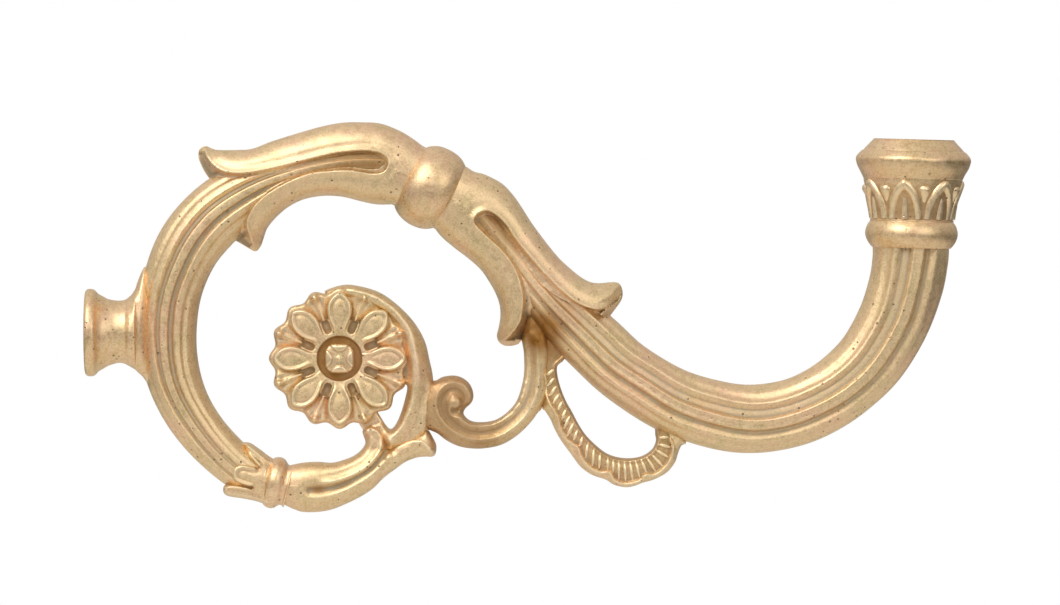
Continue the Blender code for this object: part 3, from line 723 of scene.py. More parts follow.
def moulded(name, outline, height, finish, pitch=0.27, ridges=(), seed=1, seat=None):
    """A casting outlined in x and z, with relief on its front, and on its back the same or a flat seat."""
    outline = evenly(closed(outline), pitch * 0.8)[:-1]
    turn = np.roll(outline, -1, axis=0)
    if (outline[:, 0] * turn[:, 1] - turn[:, 0] * outline[:, 1]).sum() < 0:
        outline = outline[::-1].copy()
    ring = closed(outline)
    low = outline.min(axis=0)
    span = outline.max(axis=0) - low
    rows = int(span[1] / (pitch * 0.866)) + 1
    columns = int(span[0] / pitch) + 1
    xs, zs = np.meshgrid(np.arange(columns), np.arange(rows), indexing="ij")
    field = np.column_stack([(xs + (zs % 2) * 0.5).ravel() * pitch, zs.ravel() * pitch * 0.866]) + low
    field = field[within(field, outline)]
    field = field[gap_to(field, ring) > 0.5]
    along = np.roll(outline, -1, axis=0) - np.roll(outline, 1, axis=0)
    inward = np.column_stack([-along[:, 1], along[:, 0]]) / np.linalg.norm(along, axis=1)[:, None]
    layers = []
    for inset in (0.02, 0.07, 0.15, 0.27, 0.42):
        layer = outline + inward * inset
        layer = layer[within(layer, outline)]
        layers.append(layer[gap_to(layer, ring) > 0.93 * inset])
    crests = [evenly(ridge, pitch) for ridge in ridges]
    for crest in crests:
        field = field[gap_to(field, crest) > 0.5 * pitch]
        crest = crest[within(crest, outline)]
        layers.append(crest[gap_to(crest, ring) > 0.5])
    flat = np.vstack([outline] + layers + [field])
    count = len(outline)
    edges = [(k, (k + 1) % count) for k in range(count)]
    spots, _, faces, _, _, _ = delaunay_2d_cdt([Vector(p) for p in flat], edges, [], 1, 1e-5)
    spots = np.array([tuple(p) for p in spots])
    rim = gap_to(spots, ring)
    tall = np.maximum(height(spots), 0)
    front = tall + rough_cast(spots, seed) * np.clip(rim / 0.8, 0, 1) * (tall > 0)
    back = tall + rough_cast(spots, seed + 50) * np.clip(rim / 0.8, 0, 1) * (tall > 0)
    if seat is not None:
        back = np.full(len(spots), seat)
    bm = bmesh.new()
    before = [bm.verts.new((x * MM, -y * MM, z * MM)) for (x, z), y in zip(spots, front)]
    behind = [bm.verts.new((x * MM, y * MM, z * MM)) for (x, z), y in zip(spots, back)]
    used = {}
    for face in faces:
        bm.faces.new([before[k] for k in face])
        bm.faces.new([behind[k] for k in reversed(face)])
        for k in range(len(face)):
            pair = (face[k], face[(k + 1) % len(face)])
            used[pair] = used.get(pair, 0) + 1
    for one, two in used:
        if (two, one) not in used:
            bm.faces.new((before[two], before[one], behind[one], behind[two]))
    bmesh.ops.remove_doubles(bm, verts=bm.verts, dist=2e-6)
    mesh = bpy.data.meshes.new(name)
    bm.to_mesh(mesh)
    bm.free()
    mesh.materials.append(finish)
    piece = bpy.data.objects.new(name, mesh)
    scene.collection.objects.link(piece)
    return piece


def hump(distance, width):
    return np.exp(-((distance / width) ** 2))


def rounding(distance, radius):
    """Rises from nothing at an edge to one, as a quarter round."""
    t = np.clip(distance / radius, 0, 1)
    return np.sqrt(np.maximum(1 - (1 - t) ** 2, 0))


def tube_depth(points, line):
    """Half thickness of a tube under each point, nothing beside it."""
    rows = flowing(line, 6)
    deep = np.zeros(len(points))
    for x, z, wide, tall in rows:
        off = ((points[:, 0] - x) ** 2 + (points[:, 1] - z) ** 2) / wide ** 2
        deep = np.maximum(deep, tall * np.sqrt(np.maximum(1 - off, 0)))
    return deep


def leaf(name, top, low, floor, ridge, knop_end, mouth, tips, tube, limit, seed):
    """A leaf sleeve: a blown-up form, cut down to the tube along a coved wall below its beads."""
    top, low, floor, ridge = (flowing(line, 6) for line in (top, low, floor, ridge))
    outline = np.vstack([top[:-1], knop_end[:1], knop_end[-1:], low[:-1], floor[:-1]])
    filled = np.vstack([top[:-1], knop_end, low, mouth])
    form = swelling(filled)
    wider = (mouth[0] - mouth[1]) * 0.35
    bounded = np.vstack([ridge, mouth[:1] + wider, mouth[-1:] - wider])
    tips = [flowing(tip, 6) for tip in tips]
    edge = np.vstack([tips[0], floor, tips[1]])

    def height(points):
        body = no_deeper(form(points), limit)
        for tip in tips:
            body *= 0.12 + 0.88 * rounding(gap_to(points, tip), 2.6)
        to_ridge = gap_to(points, ridge)
        to_edge = gap_to(points, edge)
        body += 0.26 * hump(to_ridge, 0.5)
        walled = within(points, bounded)
        body -= np.where(walled, 0.0, 0.16 * hump(to_ridge - 1.4, 0.75))
        ground = np.maximum(tube_depth(points, tube) - 0.35, 0)
        up = to_edge / np.maximum(to_edge + to_ridge, 1e-6)
        cove = 0.35 * up + 0.65 * up ** 2.2
        body = np.where(walled, ground + (body - ground) * cove, body)
        return body

    return moulded(name, outline, height, CAST, ridges=(ridge,), seed=seed)


inner_leaf = leaf(
    "inner_leaf", INNER_TOP, INNER_LOW, INNER_FLOOR, INNER_RIDGE,
    knop_end=np.array([(82.0, 42.4), (89.0, 38.6), (82.0, 25.0), (75.0, 28.6)]),
    mouth=np.array([(26.3, 17.5), (19.4, 32.7)]),
    tips=(INNER_LOW[9:], INNER_TOP[:7]), tube=ARC_LINE, limit=8.5, seed=3)
fit(inner_leaf, "inner_husk")

# ================================================================ knop and its nipple
# A turned brass barrel between the two leaves. A hollow threaded nipple of brass tube runs through it, draws
# both leaves onto it and lets the wire through; it is hidden, and keeps its plain shape.
KNOP_START = Vector((76.3, 0, 36.8))
KNOP_END = Vector((86.1, 0, 31.4))
KNOP_PROFILE = [
    (5.3, 0.3), (7.0, 0.1), (7.75, 0.25), (8.3, 0.75), (8.85, 1.5), (9.35, 2.5), (9.7, 3.7), (9.88, 5.0),
    (9.9, 6.1), (9.75, 7.5), (9.4, 8.7), (8.85, 9.75), (8.3, 10.45), (7.75, 10.95), (7.0, 11.1), (5.3, 10.9),
]


def lathe(name, profile, base, axis, finish, seed, sides=160, steps=5):
    """A turned piece with a bore, from a closed profile of radius and distance along its axis."""
    base = Vector(base)
    across = Vector((0, 1, 0))
    up = axis.cross(across).normalized()
    angles = [2 * pi * k / sides for k in range(sides)]
    spokes = [across * cos(angle) + up * sin(angle) for angle in angles]
    rings = [[base + axis * along + spoke * radius for spoke in spokes]
             for radius, along in flowing(profile, steps)]
    points = np.array([tuple(point) for ring in rings for point in ring])
    wave = rough_cast(points, seed, 0.025).reshape(len(rings), sides)
    for ring, bumps in zip(rings, wave):
        for k, spoke in enumerate(spokes):
            ring[k] = ring[k] + spoke * bumps[k]
    return closed_skin(name, rings, finish)


knop_axis = (KNOP_END - KNOP_START).normalized()
knop = lathe("knop_barrel", KNOP_PROFILE, KNOP_START, knop_axis, TURNED, 7)
fit(knop, "knop")
FITTING = brass_finish("fitting_brass", srgb(218, 185, 135), 0.42, 0.45)
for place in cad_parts["knop_nipple"].material_slots:
    place.material = FITTING

# ================================================================ outer leaf sleeve
# The second cast leaf, which grips the cup tube: a long upper tongue that curls away to the right and a
# shorter one inside the scroll, with a deep coved slot between their beads.
OUTER_TOP = [
    (89.9, 38.8), (91.5, 37.8), (93.5, 37.3), (96.0, 36.2), (98.4, 34.7), (100.8, 32.1), (102.8, 29.2),
    (104.9, 25.9), (107.3, 22.6), (109.7, 19.5), (111.8, 17.1), (114.2, 14.9), (116.6, 13.0), (118.7, 11.9),
    (120.8, 11.6), (123.2, 11.8), (124.9, 11.8), (125.9, 11.1), (126.4, 9.3), (126.0, 7.5), (124.7, 5.6),
    (122.9, 3.2),
]
OUTER_FLOOR = [
    (122.9, 3.2), (120.6, 4.6), (118.2, 5.5), (115.2, 6.6), (112.1, 8.0), (109.0, 10.0), (105.6, 13.1),
    (102.8, 16.6), (100.8, 20.4), (99.1, 23.1), (97.7, 25.2), (96.3, 26.7), (94.6, 27.3), (93.4, 26.7),
    (93.4, 25.5), (94.9, 23.8), (97.3, 21.7), (99.4, 19.3), (101.1, 16.9), (102.8, 14.2), (104.2, 11.4),
    (105.1, 9.0), (105.4, 6.2), (104.9, 3.5), (104.2, 1.1), (103.2, -0.9), (101.9, -2.7),
]
OUTER_LOW = [
    (101.9, -2.7), (100.6, -3.1), (98.7, -3.1), (97.3, -2.2), (96.8, -0.7), (97.2, 1.1), (97.6, 3.5),
    (97.5, 6.2), (96.6, 9.0), (94.9, 12.1), (92.9, 14.9), (90.1, 17.4), (86.7, 20.0), (83.9, 22.4),
    (82.2, 24.5),
]
OUTER_RIDGE = [
    (126.1, 9.0), (125.3, 7.4), (123.3, 6.1), (120.6, 5.6), (117.7, 6.3), (115.2, 7.6), (113.1, 9.2),
    (111.1, 11.0), (109.4, 12.8), (107.3, 14.9), (105.3, 17.3), (103.2, 19.7), (101.1, 22.4), (99.1, 25.5),
    (97.0, 27.6), (94.9, 28.8), (93.2, 28.6), (91.8, 27.6), (91.4, 26.2), (92.0, 25.0), (93.5, 23.5),
    (95.4, 21.7), (97.5, 19.8), (99.6, 17.4), (101.1, 14.9), (102.2, 11.8), (102.8, 8.7), (102.8, 5.9),
    (102.3, 3.1), (101.1, 1.1), (99.6, -0.8), (98.5, -1.9),
]
CUP_LINE = [  # x, z, half width, half depth
    (91.5, 28.8, 4.0, 6.0), (95.4, 24.0, 4.2, 6.1), (100.3, 18.0, 4.5, 6.2), (106.2, 10.9, 5.6, 6.8),
    (112.9, 3.8, 7.0, 7.4), (119.8, -2.7, 7.45, 7.6), (127.2, -9.4, 7.5, 7.7), (137.8, -15.9, 7.75, 7.8),
    (148.6, -19.4, 8.0, 8.0), (157.2, -20.3, 8.05, 8.0), (166.2, -18.9, 8.0, 8.1), (173.4, -15.8, 8.0, 8.1),
    (179.6, -11.4, 8.05, 8.2), (185.2, -5.6, 8.25, 8.4), (190.0, 2.7, 8.5, 8.6), (192.9, 11.0, 8.75, 8.8),
    (193.95, 17.0, 8.9, 8.9), (194.1, 20.5, 9.0, 9.0),
]

outer_leaf = leaf(
    "outer_leaf", OUTER_LOW, OUTER_TOP, OUTER_FLOOR, OUTER_RIDGE,
    knop_end=np.array([(79.5, 26.0), (72.5, 29.8), (80.0, 44.0), (87.0, 40.2)]),
    mouth=np.array([(131.3, -2.6), (109.8, -10.0)]),
    tips=(OUTER_TOP[-7:], OUTER_LOW[:5]), tube=CUP_LINE, limit=8.9, seed=5)
fit(outer_leaf, "outer_husk")

# ================================================================ cup tube
# The main tube of the outer half, made like the arc but with another set of flutes. It sweeps down and up
# again to carry the lamp cup.
CUP_CUTS = [  # from the outer edge (0) to the inner edge (1)
    (0.04, 0.13, 0.25, 2), (0.18, 0.335, 1.1, 2), (0.35, 0.46, 0.2, 4), (0.47, 0.7, 1.35, 2),
    (0.74, 0.86, 0.4, 2),
]
CUP_DRIFT = ([0.0, 0.4, 0.53, 0.68, 1.0], [-0.09, -0.09, -0.05, 0.0, 0.0])
FORK = (107.3, 0.3)


def cup_flute(rows):
    return np.clip((rows[:, 2] - 4.6) / 2.6, 0.05, 1.0) * 1.15


def cup_recess_shade(points):
    """Painted shade in the slot's closed end and in the fork where the leaf, the scroll and the garland meet.
    """
    slot = 0.6 * np.clip((104 - points[:, 0]) / 8, 0, 1)
    return slot + 1.6 * hump(off_spot(points, *FORK), 5.0)


cup_tree = fluted_tree(CUP_CUTS)
for node, facing in (("cup_tube_front", -1.0), ("cup_tube_back", 1.0)):
    half = half_tube("stem_" + node[9:], cup_tree, CUP_LINE, facing, cup_flute, CUP_DRIFT)
    fit(half, node, cup_recess_shade)

# ================================================================ lamp cup
# Three turned brass pieces stacked on the tube's end: a rounded ring, a bell with a frieze of pointed arches
# cast on it, and a collar with a conical neck. The collar's bore is tapped like the flange's.
CUP_BASE = Vector((194.15, 0, 19.9))
CUP_LEAN = radians(1.5)
CUP_AXIS = Vector((sin(CUP_LEAN), 0, cos(CUP_LEAN)))
RING_PROFILE = [
    (6.6, 0.1), (8.9, 0.0), (9.4, 0.2), (9.9, 0.8), (10.5, 1.8), (10.85, 2.9), (10.85, 3.9), (10.55, 5.0),
    (10.1, 5.8), (9.8, 6.2), (9.65, 6.7), (6.6, 6.7),
]
BELL_PROFILE = [
    (6.4, -5.5), (6.4, 6.3), (9.0, 6.35), (9.55, 6.6), (9.7, 7.4), (10.0, 9.2), (10.5, 11.4), (11.0, 13.4),
    (11.4, 15.0), (11.65, 16.1), (11.6, 16.6), (11.0, 16.6), (8.0, 16.5), (4.6, 16.0), (4.3, 15.5),
    (4.3, -5.0),
]
COLLAR_PROFILE = [
    (4.3, 13.0), (8.0, 13.0), (11.2, 16.1), (11.7, 16.3), (11.95, 16.8), (12.3, 17.5), (12.75, 18.3),
    (13.15, 19.1), (13.45, 20.0), (13.55, 20.7), (13.4, 21.3), (13.0, 21.85), (12.5, 22.4), (12.1, 22.75),
    (11.85, 22.82), (11.75, 22.95), (11.45, 23.3), (10.9, 23.9), (10.2, 24.6), (9.65, 25.2), (9.45, 25.42),
    (9.2, 25.5), (6.0, 25.5), (4.95, 25.45), (4.3, 24.8),
]


def frieze_shade(points):
    """Painted shade on the bell between the arches."""
    along = (points - np.array([CUP_BASE.x, 0, CUP_BASE.z])) @ np.array([CUP_AXIS.x, 0, CUP_AXIS.z])
    return 0.5 * np.clip((along - 6.4) / 0.8, 0, 1) * np.clip((15.2 - along) / 2.0, 0, 1)


for name, node, profile, seed, stain in (
        ("ring_under_bell", "cup_ring", RING_PROFILE, 11, None),
        ("bell", "capital", BELL_PROFILE, 12, frieze_shade),
        ("collar", "socket_collar", COLLAR_PROFILE, 13, None)):
    fit(lathe(name, profile, CUP_BASE, CUP_AXIS, TURNED, seed), node, stain)
cup_thread = thread("collar_thread", CUP_BASE + CUP_AXIS * 14.0, CUP_AXIS)
fit(cup_thread, "socket_collar")

FRIEZE_COUNT = 7
FRIEZE_TURN = radians(-90.0 - 12.4)


def beads_tree():
    """Round beads along lines, each as thick as its points say, with copies of them all round the z axis."""
    tree, given = shape_tree("beads", {"Count": "Int", "Section Points": "Int"})
    start = given["Geometry"]
    lines = start.node("GeometryNodeMeshToCurve", {}, {"Mesh": start})
    section = start.node("GeometryNodeCurvePrimitiveCircle", {"mode": "RADIUS"},
                         {"Resolution": given["Section Points"], "Radius": 1.0})
    thick = start.node("GeometryNodeInputNamedAttribute", {"data_type": "FLOAT"}, {"Name": "thickness"})
    bead = start.node("GeometryNodeCurveToMesh", {},
                      {"Curve": lines, "Profile Curve": section, "Scale": thick, "Fill Caps": True})
    spots = start.node("GeometryNodePoints", {}, {"Count": given["Count"], "Position": (0.0, 0.0, 0.0)})
    index = start.node("GeometryNodeInputIndex")
    turn = start.node("ShaderNodeCombineXYZ", {}, {2: index * (2 * pi) / given["Count"]})
    ring = start.node("GeometryNodeInstanceOnPoints", {},
                      {"Points": spots, "Instance": bead, "Rotation": turn})
    end_tree(ring, given["Finish"])
    return tree


def bell_radius(along):
    rows = flowing(BELL_PROFILE, 5)
    rows = rows[(rows[:, 0] > 9.6) & (rows[:, 1] < 16.2)]
    return float(np.interp(along, rows[:, 1], rows[:, 0]))


def on_bell(angle, along, lift):
    """A point on the bell, an angle in degrees round it and a distance up it."""
    radius = bell_radius(along) + lift
    return (radius * cos(radians(angle)), radius * sin(radians(angle)), along)


def frieze():
    """One arch, its middle spike and the drop beside it, as lines with a thickness at each point."""
    side = [(19.5, 6.9), (18.6, 8.6), (16.4, 10.6), (12.0, 12.6), (6.0, 14.2), (1.5, 14.95)]
    arch = [(-across, up) for across, up in side] + [(0.0, 15.1)] + side[::-1]
    spike = [(0.0, 6.9), (0.0, 8.5), (0.0, 10.2), (0.0, 11.9)]
    drop = [(25.7, 10.7), (25.7, 11.9), (25.7, 13.0), (25.7, 14.1), (25.7, 14.8)]
    strands = (
        (arch, [1.05, 1.1, 1.16, 1.22, 1.27, 1.3, 1.32, 1.3, 1.27, 1.22, 1.16, 1.1, 1.05], -0.6),
        (spike, [1.0, 0.95, 0.85, 0.6], -0.45),
        (drop, [0.7, 1.0, 1.4, 1.6, 1.2], -0.8),
    )
    lines = []
    thickness = []
    for line, sizes, lift in strands:
        rows = flowing([(a, t, s) for (a, t), s in zip(line, sizes)], 5)
        lines.append([Vector(on_bell(a, t, lift)) * MM for a, t, s in rows])
        thickness += [s * MM for a, t, s in rows]
    mesh = line_mesh("frieze", lines, {"thickness": thickness})
    sizes = {"Count": FRIEZE_COUNT, "Section Points": 12, "Finish": TURNED}
    piece = grown("frieze", beads_maker, mesh, sizes)
    lean = Matrix.Rotation(CUP_LEAN, 4, "Y")
    lean.translation = CUP_BASE * MM
    piece.data.transform(lean @ Matrix.Rotation(FRIEZE_TURN, 4, "Z"))
    face_outwards(piece.data)
    return piece


beads_maker = beads_tree()
fit(frieze(), "capital")

# ================================================================ calyx
# The arc ends in a small cast calyx: an upper and a lower petal that fold over the tube and a short tongue
# between them, with a drilled eye at the root of each cleft. It is brazed on and holds the scroll's ring.
CHASED = brass_finish("chased_brass", srgb(215, 184, 134), 0.49, 0.85)
CALYX_EDGE = [
    (46.1, -30.8), (44.2, -29.7), (42.6, -28.6), (40.9, -27.3), (38.7, -25.9), (36.8, -25.9), (37.3, -26.5),
    (38.0, -27.6), (38.8, -29.2), (40.5, -31.3), (37.4, -30.8), (35.4, -31.5), (34.8, -33.0), (35.4, -34.8),
    (37.1, -35.7), (39.0, -36.3), (37.2, -35.9), (35.0, -35.6), (33.2, -35.7), (32.5, -36.4), (32.6, -37.7),
    (33.7, -38.5), (36.8, -39.0), (39.9, -39.6), (41.9, -40.2), (43.8, -40.7), (45.7, -39.7),
]
CALYX_EYES = [(40.8, -31.7), (39.4, -36.4)]


def calyx():
    edge = flowing(CALYX_EDGE, 5)
    root = [(30.0, -24.0), (26.0, -32.0), (29.5, -38.2), (33.8, -38.5)]
    form = swelling(CALYX_EDGE[:6] + root + CALYX_EDGE[-5:] + [(55.0, -42.0), (57.0, -33.0)])

    def height(points):
        gap = gap_to(points, edge)
        body = np.maximum(no_deeper(form(points), 6.5), 4.3 * rounding(gap, 1.3))
        body += 0.32 * hump(gap - 0.5, 0.35) - 0.2 * hump(gap - 1.35, 0.55)
        ground = np.maximum(tube_depth(points, ARC_LINE) - 0.4, 0)
        body = np.where(gap < 3, ground + (body - ground) * rounding(gap, 0.9), body)
        body -= 0.9 * np.clip((points[:, 0] + 0.25 * points[:, 1] - 32.6) / 3.2, 0, 1) ** 2
        for eye in CALYX_EYES:
            body -= 0.9 * hump(off_spot(points, *eye), 0.42)
        return body

    return moulded("calyx_petals", edge, height, CHASED, pitch=0.22, seed=21)


def calyx_eye_shade(points):
    """Painted shade in the drilled eyes."""
    spots = np.zeros(len(points))
    for eye in CALYX_EYES:
        spots += 0.9 * hump(off_spot(points, *eye), 0.6)
    return spots


fit(calyx(), "calyx", calyx_eye_shade)

# ================================================================ scroll ring
# A turned brass ring with a rounded band between two coves. It is slipped over the spigot between the calyx
# and the scroll, and soldered.
RING_CENTRE = Vector((44.6, 0, -35.3))
RING_AXIS = Vector((0.97, 0, -0.24)).normalized()
SCROLL_RING_PROFILE = [
    (2.4, -2.8), (5.0, -2.8), (4.9, -2.3), (5.15, -1.85), (5.75, -1.3), (6.08, -0.4), (6.1, 0.4), (5.8, 1.2),
    (5.2, 1.8), (4.85, 2.3), (4.85, 2.9), (5.05, 3.4), (2.4, 3.4),
]
ring = lathe("scroll_ring_band", SCROLL_RING_PROFILE, RING_CENTRE, RING_AXIS, TURNED, 22)
fit(ring, "scroll_ring")

# ================================================================ scroll husk
# A cast husk that opens from the ring and splits in two: an inner leaf whose beaded edge curls up to the
# rosette, and a longer outer leaf that flares out to the right. A groove runs between them from a deep eye
# by the ring.
HUSK_TOP = [
    (47.8, -31.3), (51.2, -30.6), (54.7, -30.4), (58.1, -30.6), (60.9, -29.9), (63.3, -28.9), (65.0, -27.5),
    (65.9, -25.9), (65.5, -24.4), (65.2, -23.2), (65.9, -22.3), (67.1, -21.7), (68.8, -22.0), (70.0, -23.2),
    (70.7, -24.9),
]
HUSK_RIGHT = [
    (71.4, -26.8), (71.9, -27.5), (73.3, -26.1), (75.4, -25.1), (77.1, -24.4), (78.8, -23.5), (80.5, -22.8),
    (81.9, -24.9), (82.6, -26.6), (82.4, -28.5), (81.6, -29.2), (80.2, -29.2),
]
HUSK_LOW = [
    (78.1, -29.4), (75.4, -30.4), (73.0, -32.1), (70.2, -34.2), (67.8, -36.6), (65.0, -38.5), (61.6, -40.2),
    (58.1, -41.6), (54.7, -42.2), (51.2, -42.2), (49.2, -41.6), (47.4, -40.8), (46.4, -40.1), (46.4, -32.1),
]
HUSK_GROOVE = [
    (53.0, -36.9), (55.4, -36.9), (58.1, -36.5), (60.9, -35.5), (63.6, -34.1), (66.4, -32.5), (68.8, -30.3),
    (70.5, -28.0), (71.2, -25.9),
]
HUSK_BEAD = [
    (54.7, -35.3), (58.1, -34.9), (60.9, -34.2), (63.6, -33.1), (66.1, -31.7), (68.1, -29.7), (69.5, -27.3),
    (69.8, -25.1), (69.0, -23.2), (67.4, -22.4), (66.2, -22.8),
]
HUSK_CREST = [
    (71.2, -29.4), (72.4, -27.7), (74.7, -26.1), (77.1, -25.4), (79.2, -25.8), (80.5, -26.8), (81.5, -27.7)]


def scroll_husk():
    outline = flowing(HUSK_TOP + HUSK_RIGHT + HUSK_LOW[:-1], 4)
    outline = np.vstack([outline, HUSK_LOW[-1:]])
    form = swelling(np.vstack([outline[:-1], [(38.0, -38.6), (38.0, -32.0)]]))
    groove, bead, crest = (flowing(line, 6) for line in (HUSK_GROOVE, HUSK_BEAD, HUSK_CREST))
    rim = outline[:-1]

    def height(points):
        body = np.maximum(no_deeper(form(points), 6.0), 3.5 * rounding(gap_to(points, rim), 2.0))
        start = np.clip((points[:, 0] - 53.0) / 16, 0, 1)
        body -= (1.15 - 0.35 * start) * hump(gap_to(points, groove), 1.3 - 0.6 * start)
        fade = np.clip((points[:, 0] - 54.5) / 4, 0, 1)
        body += 0.42 * fade * hump(gap_to(points, bead), 0.5) + 0.45 * hump(gap_to(points, crest), 0.55)
        body -= 0.25 * fade * hump(gap_to(points, bead) - 1.4, 0.7)
        return body

    return moulded("scroll_leaf", outline, height, CHASED, pitch=0.24, ridges=(bead, crest), seed=23)


def husk_eye_shade(points):
    """Painted shade in the eye of the groove."""
    return 0.95 * hump(np.hypot((points[:, 0] - 54.8) / 1.6, points[:, 2] + 36.8), 1.1)


fit(scroll_husk(), "scroll_husk", husk_eye_shade)

# ================================================================ scroll stem
# A cast stem that rises out of the husk and curls over the rosette. It has one crest along it, and a thin
# web joins it to the rosette below.
STEM_EDGE = [
    (56.3, 9.8), (59.3, 10.9), (62.7, 11.2), (68.4, 9.8), (72.6, 7.2), (77.0, 2.9), (79.8, -1.8),
    (81.0, -6.5), (81.8, -10.5), (82.0, -15.9), (81.3, -20.1), (80.4, -23.6), (77.5, -26.4), (72.8, -28.1),
    (69.3, -26.7), (65.8, -23.4), (64.2, -21.0), (62.7, -17.7), (65.8, -14.9), (68.6, -18.4), (71.0, -22.1),
    (72.4, -22.4), (74.0, -19.6), (75.4, -14.9), (75.6, -12.4), (73.4, -11.2), (72.8, -6.0), (71.2, -1.0),
    (68.2, 3.2), (64.0, 6.0), (60.0, 7.4), (57.0, 8.2),
]
STEM_CREST = [
    (62.0, 10.2), (67.4, 9.0), (72.6, 5.8), (75.9, 1.5), (77.3, -3.6), (78.0, -8.1), (77.8, -12.6),
    (76.6, -17.3), (74.7, -21.5), (71.7, -25.3),
]
FLOWER_CENTRE = Vector((59.9, 0, -6.0))
WEB_REACH = 18.1


def scroll_stem():
    outline = flowing(closed(STEM_EDGE), 4)[:-1]
    form = swelling(outline)
    crest = flowing(STEM_CREST, 6)

    def height(points):
        body = no_deeper(form(points) * 1.12, 4.3)
        gap = gap_to(points, crest)
        body += 0.8 * hump(gap, 1.2) - 0.3 * hump(gap - 2.6, 0.9)
        inward = off_spot(points, FLOWER_CENTRE.x, FLOWER_CENTRE.z) < WEB_REACH
        web = 1.7 + 3.2 * np.exp(-((gap / 1.9) ** 2))
        body = np.where(inward & (points[:, 1] > -22), np.minimum(body, web), body)
        foot = np.clip((71.0 - points[:, 0] - 0.5 * (points[:, 1] + 24)) / 3.0, 0, 1)
        foot *= np.clip((-15.0 - points[:, 1]) / 3.0, 0, 1)
        return body * (1 - foot) + np.minimum(body, 1.4) * foot

    return moulded("stem_of_scroll", outline, height, CHASED, ridges=(crest,), seed=25)


fit(scroll_stem(), "scroll_stem")

# ================================================================ rosettes
# Two cast flowers set back to back in the curl. Each has eight dished petals with a raised rim, and a ribbed
# leaflet behind each gap; the petals stand clear of the leaflets at their roots, where a slot is left
# between them.
FLOWER_COUNT = 8
FLOWER_RADIUS = 16.05


def turned_copies_tree():
    """Turns copies of a shape about the y axis and welds them where they meet."""
    tree, given = shape_tree("turned_copies", {"Count": "Int", "Weld": "Float"})
    start = given["Geometry"]
    spots = start.node("GeometryNodePoints", {}, {"Count": given["Count"]})
    index = start.node("GeometryNodeInputIndex")
    turn = start.node("ShaderNodeCombineXYZ", {}, {1: index * (2 * pi) / given["Count"]})
    ring = start.node("GeometryNodeInstanceOnPoints", {},
                      {"Points": spots, "Instance": start, "Rotation": turn})
    ring = ring.node("GeometryNodeRealizeInstances", {}, {"Geometry": ring})
    ring = ring.node("GeometryNodeMergeByDistance", {}, {"Geometry": ring, "Distance": given["Weld"]})
    end_tree(ring, given["Finish"])
    return tree


def leaflet_height(out, aside):
    """Height of a flower's ground, from the distance out and to one side of a leaflet."""
    round_it = np.hypot(out, aside)
    rib = 0.28 + 0.1 * np.clip(round_it - 9.3, 0, 9)
    blade = 2.1 + 0.07 * (round_it - 9.3) + 0.8 * np.exp(-((aside / rib) ** 2))
    side = np.abs(np.arctan2(aside, out)) * round_it
    blade += 0.45 * hump(side - 0.29 * (round_it - 8.2), 0.35 + 0.03 * round_it)
    blade += 0.75 * np.exp(-(((out - 15.3) / 0.8) ** 2 + (aside / 0.8) ** 2))
    hub = 3.55 - 0.1 * np.clip(round_it - 6, 0, 3)
    slot = np.clip((0.95 - np.hypot(side, np.clip(7.25 - round_it, 0, 9))) / 0.2, 0, 1)
    hub = hub * (1 - slot) + 2.2 * slot
    mixed = np.clip((round_it - 9.25) / 0.3, 0, 1)
    ground = hub * (1 - mixed) + blade * mixed
    ditch = np.clip((5.35 - round_it) / 0.3, 0, 1)
    return ground * (1 - ditch) + 2.75 * ditch


def leaflet_sector(steps=36):
    """An eighth of the flower's ground: a closed section at each of many angles about one leaflet."""
    half = pi / FLOWER_COUNT
    stretches = (np.linspace(0, 0.25, 18)[:-1], np.linspace(0.25, 0.93, 52)[:-1], np.linspace(0.93, 1, 10))
    reach = np.concatenate(stretches)
    rings = []
    for k in range(steps + 1):
        angle = half * (2 * k / steps - 1)
        edge = FLOWER_RADIUS + 0.6 * cos(2 * FLOWER_COUNT * angle)
        radii = 3.0 + (edge - 3.0) * reach
        tall = leaflet_height(radii * cos(angle), radii * sin(angle))
        tall = 1.3 + (tall - 1.3) * rounding(edge - radii, 1.0)
        ring = [(r, -y) for r, y in zip(radii, tall)] + [(edge, -0.15), (3.0, -0.15)]
        rings.append([(r * cos(angle), y, r * sin(angle)) for r, y in ring])
    bm = bmesh.new()
    rows = [[bm.verts.new(Vector(p) * MM) for p in ring] for ring in rings]
    for here, there in zip(rows[:-1], rows[1:]):
        for n in range(len(here)):
            m = (n + 1) % len(here)
            bm.faces.new((here[n], there[n], there[m], here[m]))
    mesh = bpy.data.meshes.new("leaflet")
    bm.to_mesh(mesh)
    bm.free()
    return mesh


PETAL_EDGE = [
    (5.3, 1.45), (6.3, 1.45), (7.2, 1.65), (8.2, 2.1), (9.3, 2.55), (10.6, 2.85), (12.0, 2.88), (13.3, 2.55),
    (14.3, 1.95), (15.0, 1.25), (15.45, 0.6), (15.6, 0.0),
]


def petal():
    side = flowing(PETAL_EDGE, 5)
    outline = np.vstack([side, side[-2::-1] * (1, -1)])

    def height(points):
        gap = gap_to(points, outline)
        out = np.clip((points[:, 0] - 5.3) / 10.6, 0, 1)
        plate = 3.6 + 0.75 * np.sin(out * pi * 0.85)
        begun = np.clip((points[:, 0] - 6.3) / 1.6, 0, 1)
        rim = 0.36 * hump(gap - 0.5, 0.34) - 0.08 * hump(gap - 1.3, 0.6)
        return plate - 0.55 + 0.55 * rounding(gap, 0.45) + begun * rim

    one = moulded("petal", outline, height, CHASED, pitch=0.2, seed=27, seat=-1.2)
    mesh = one.data
    bpy.data.objects.remove(one)
    return mesh


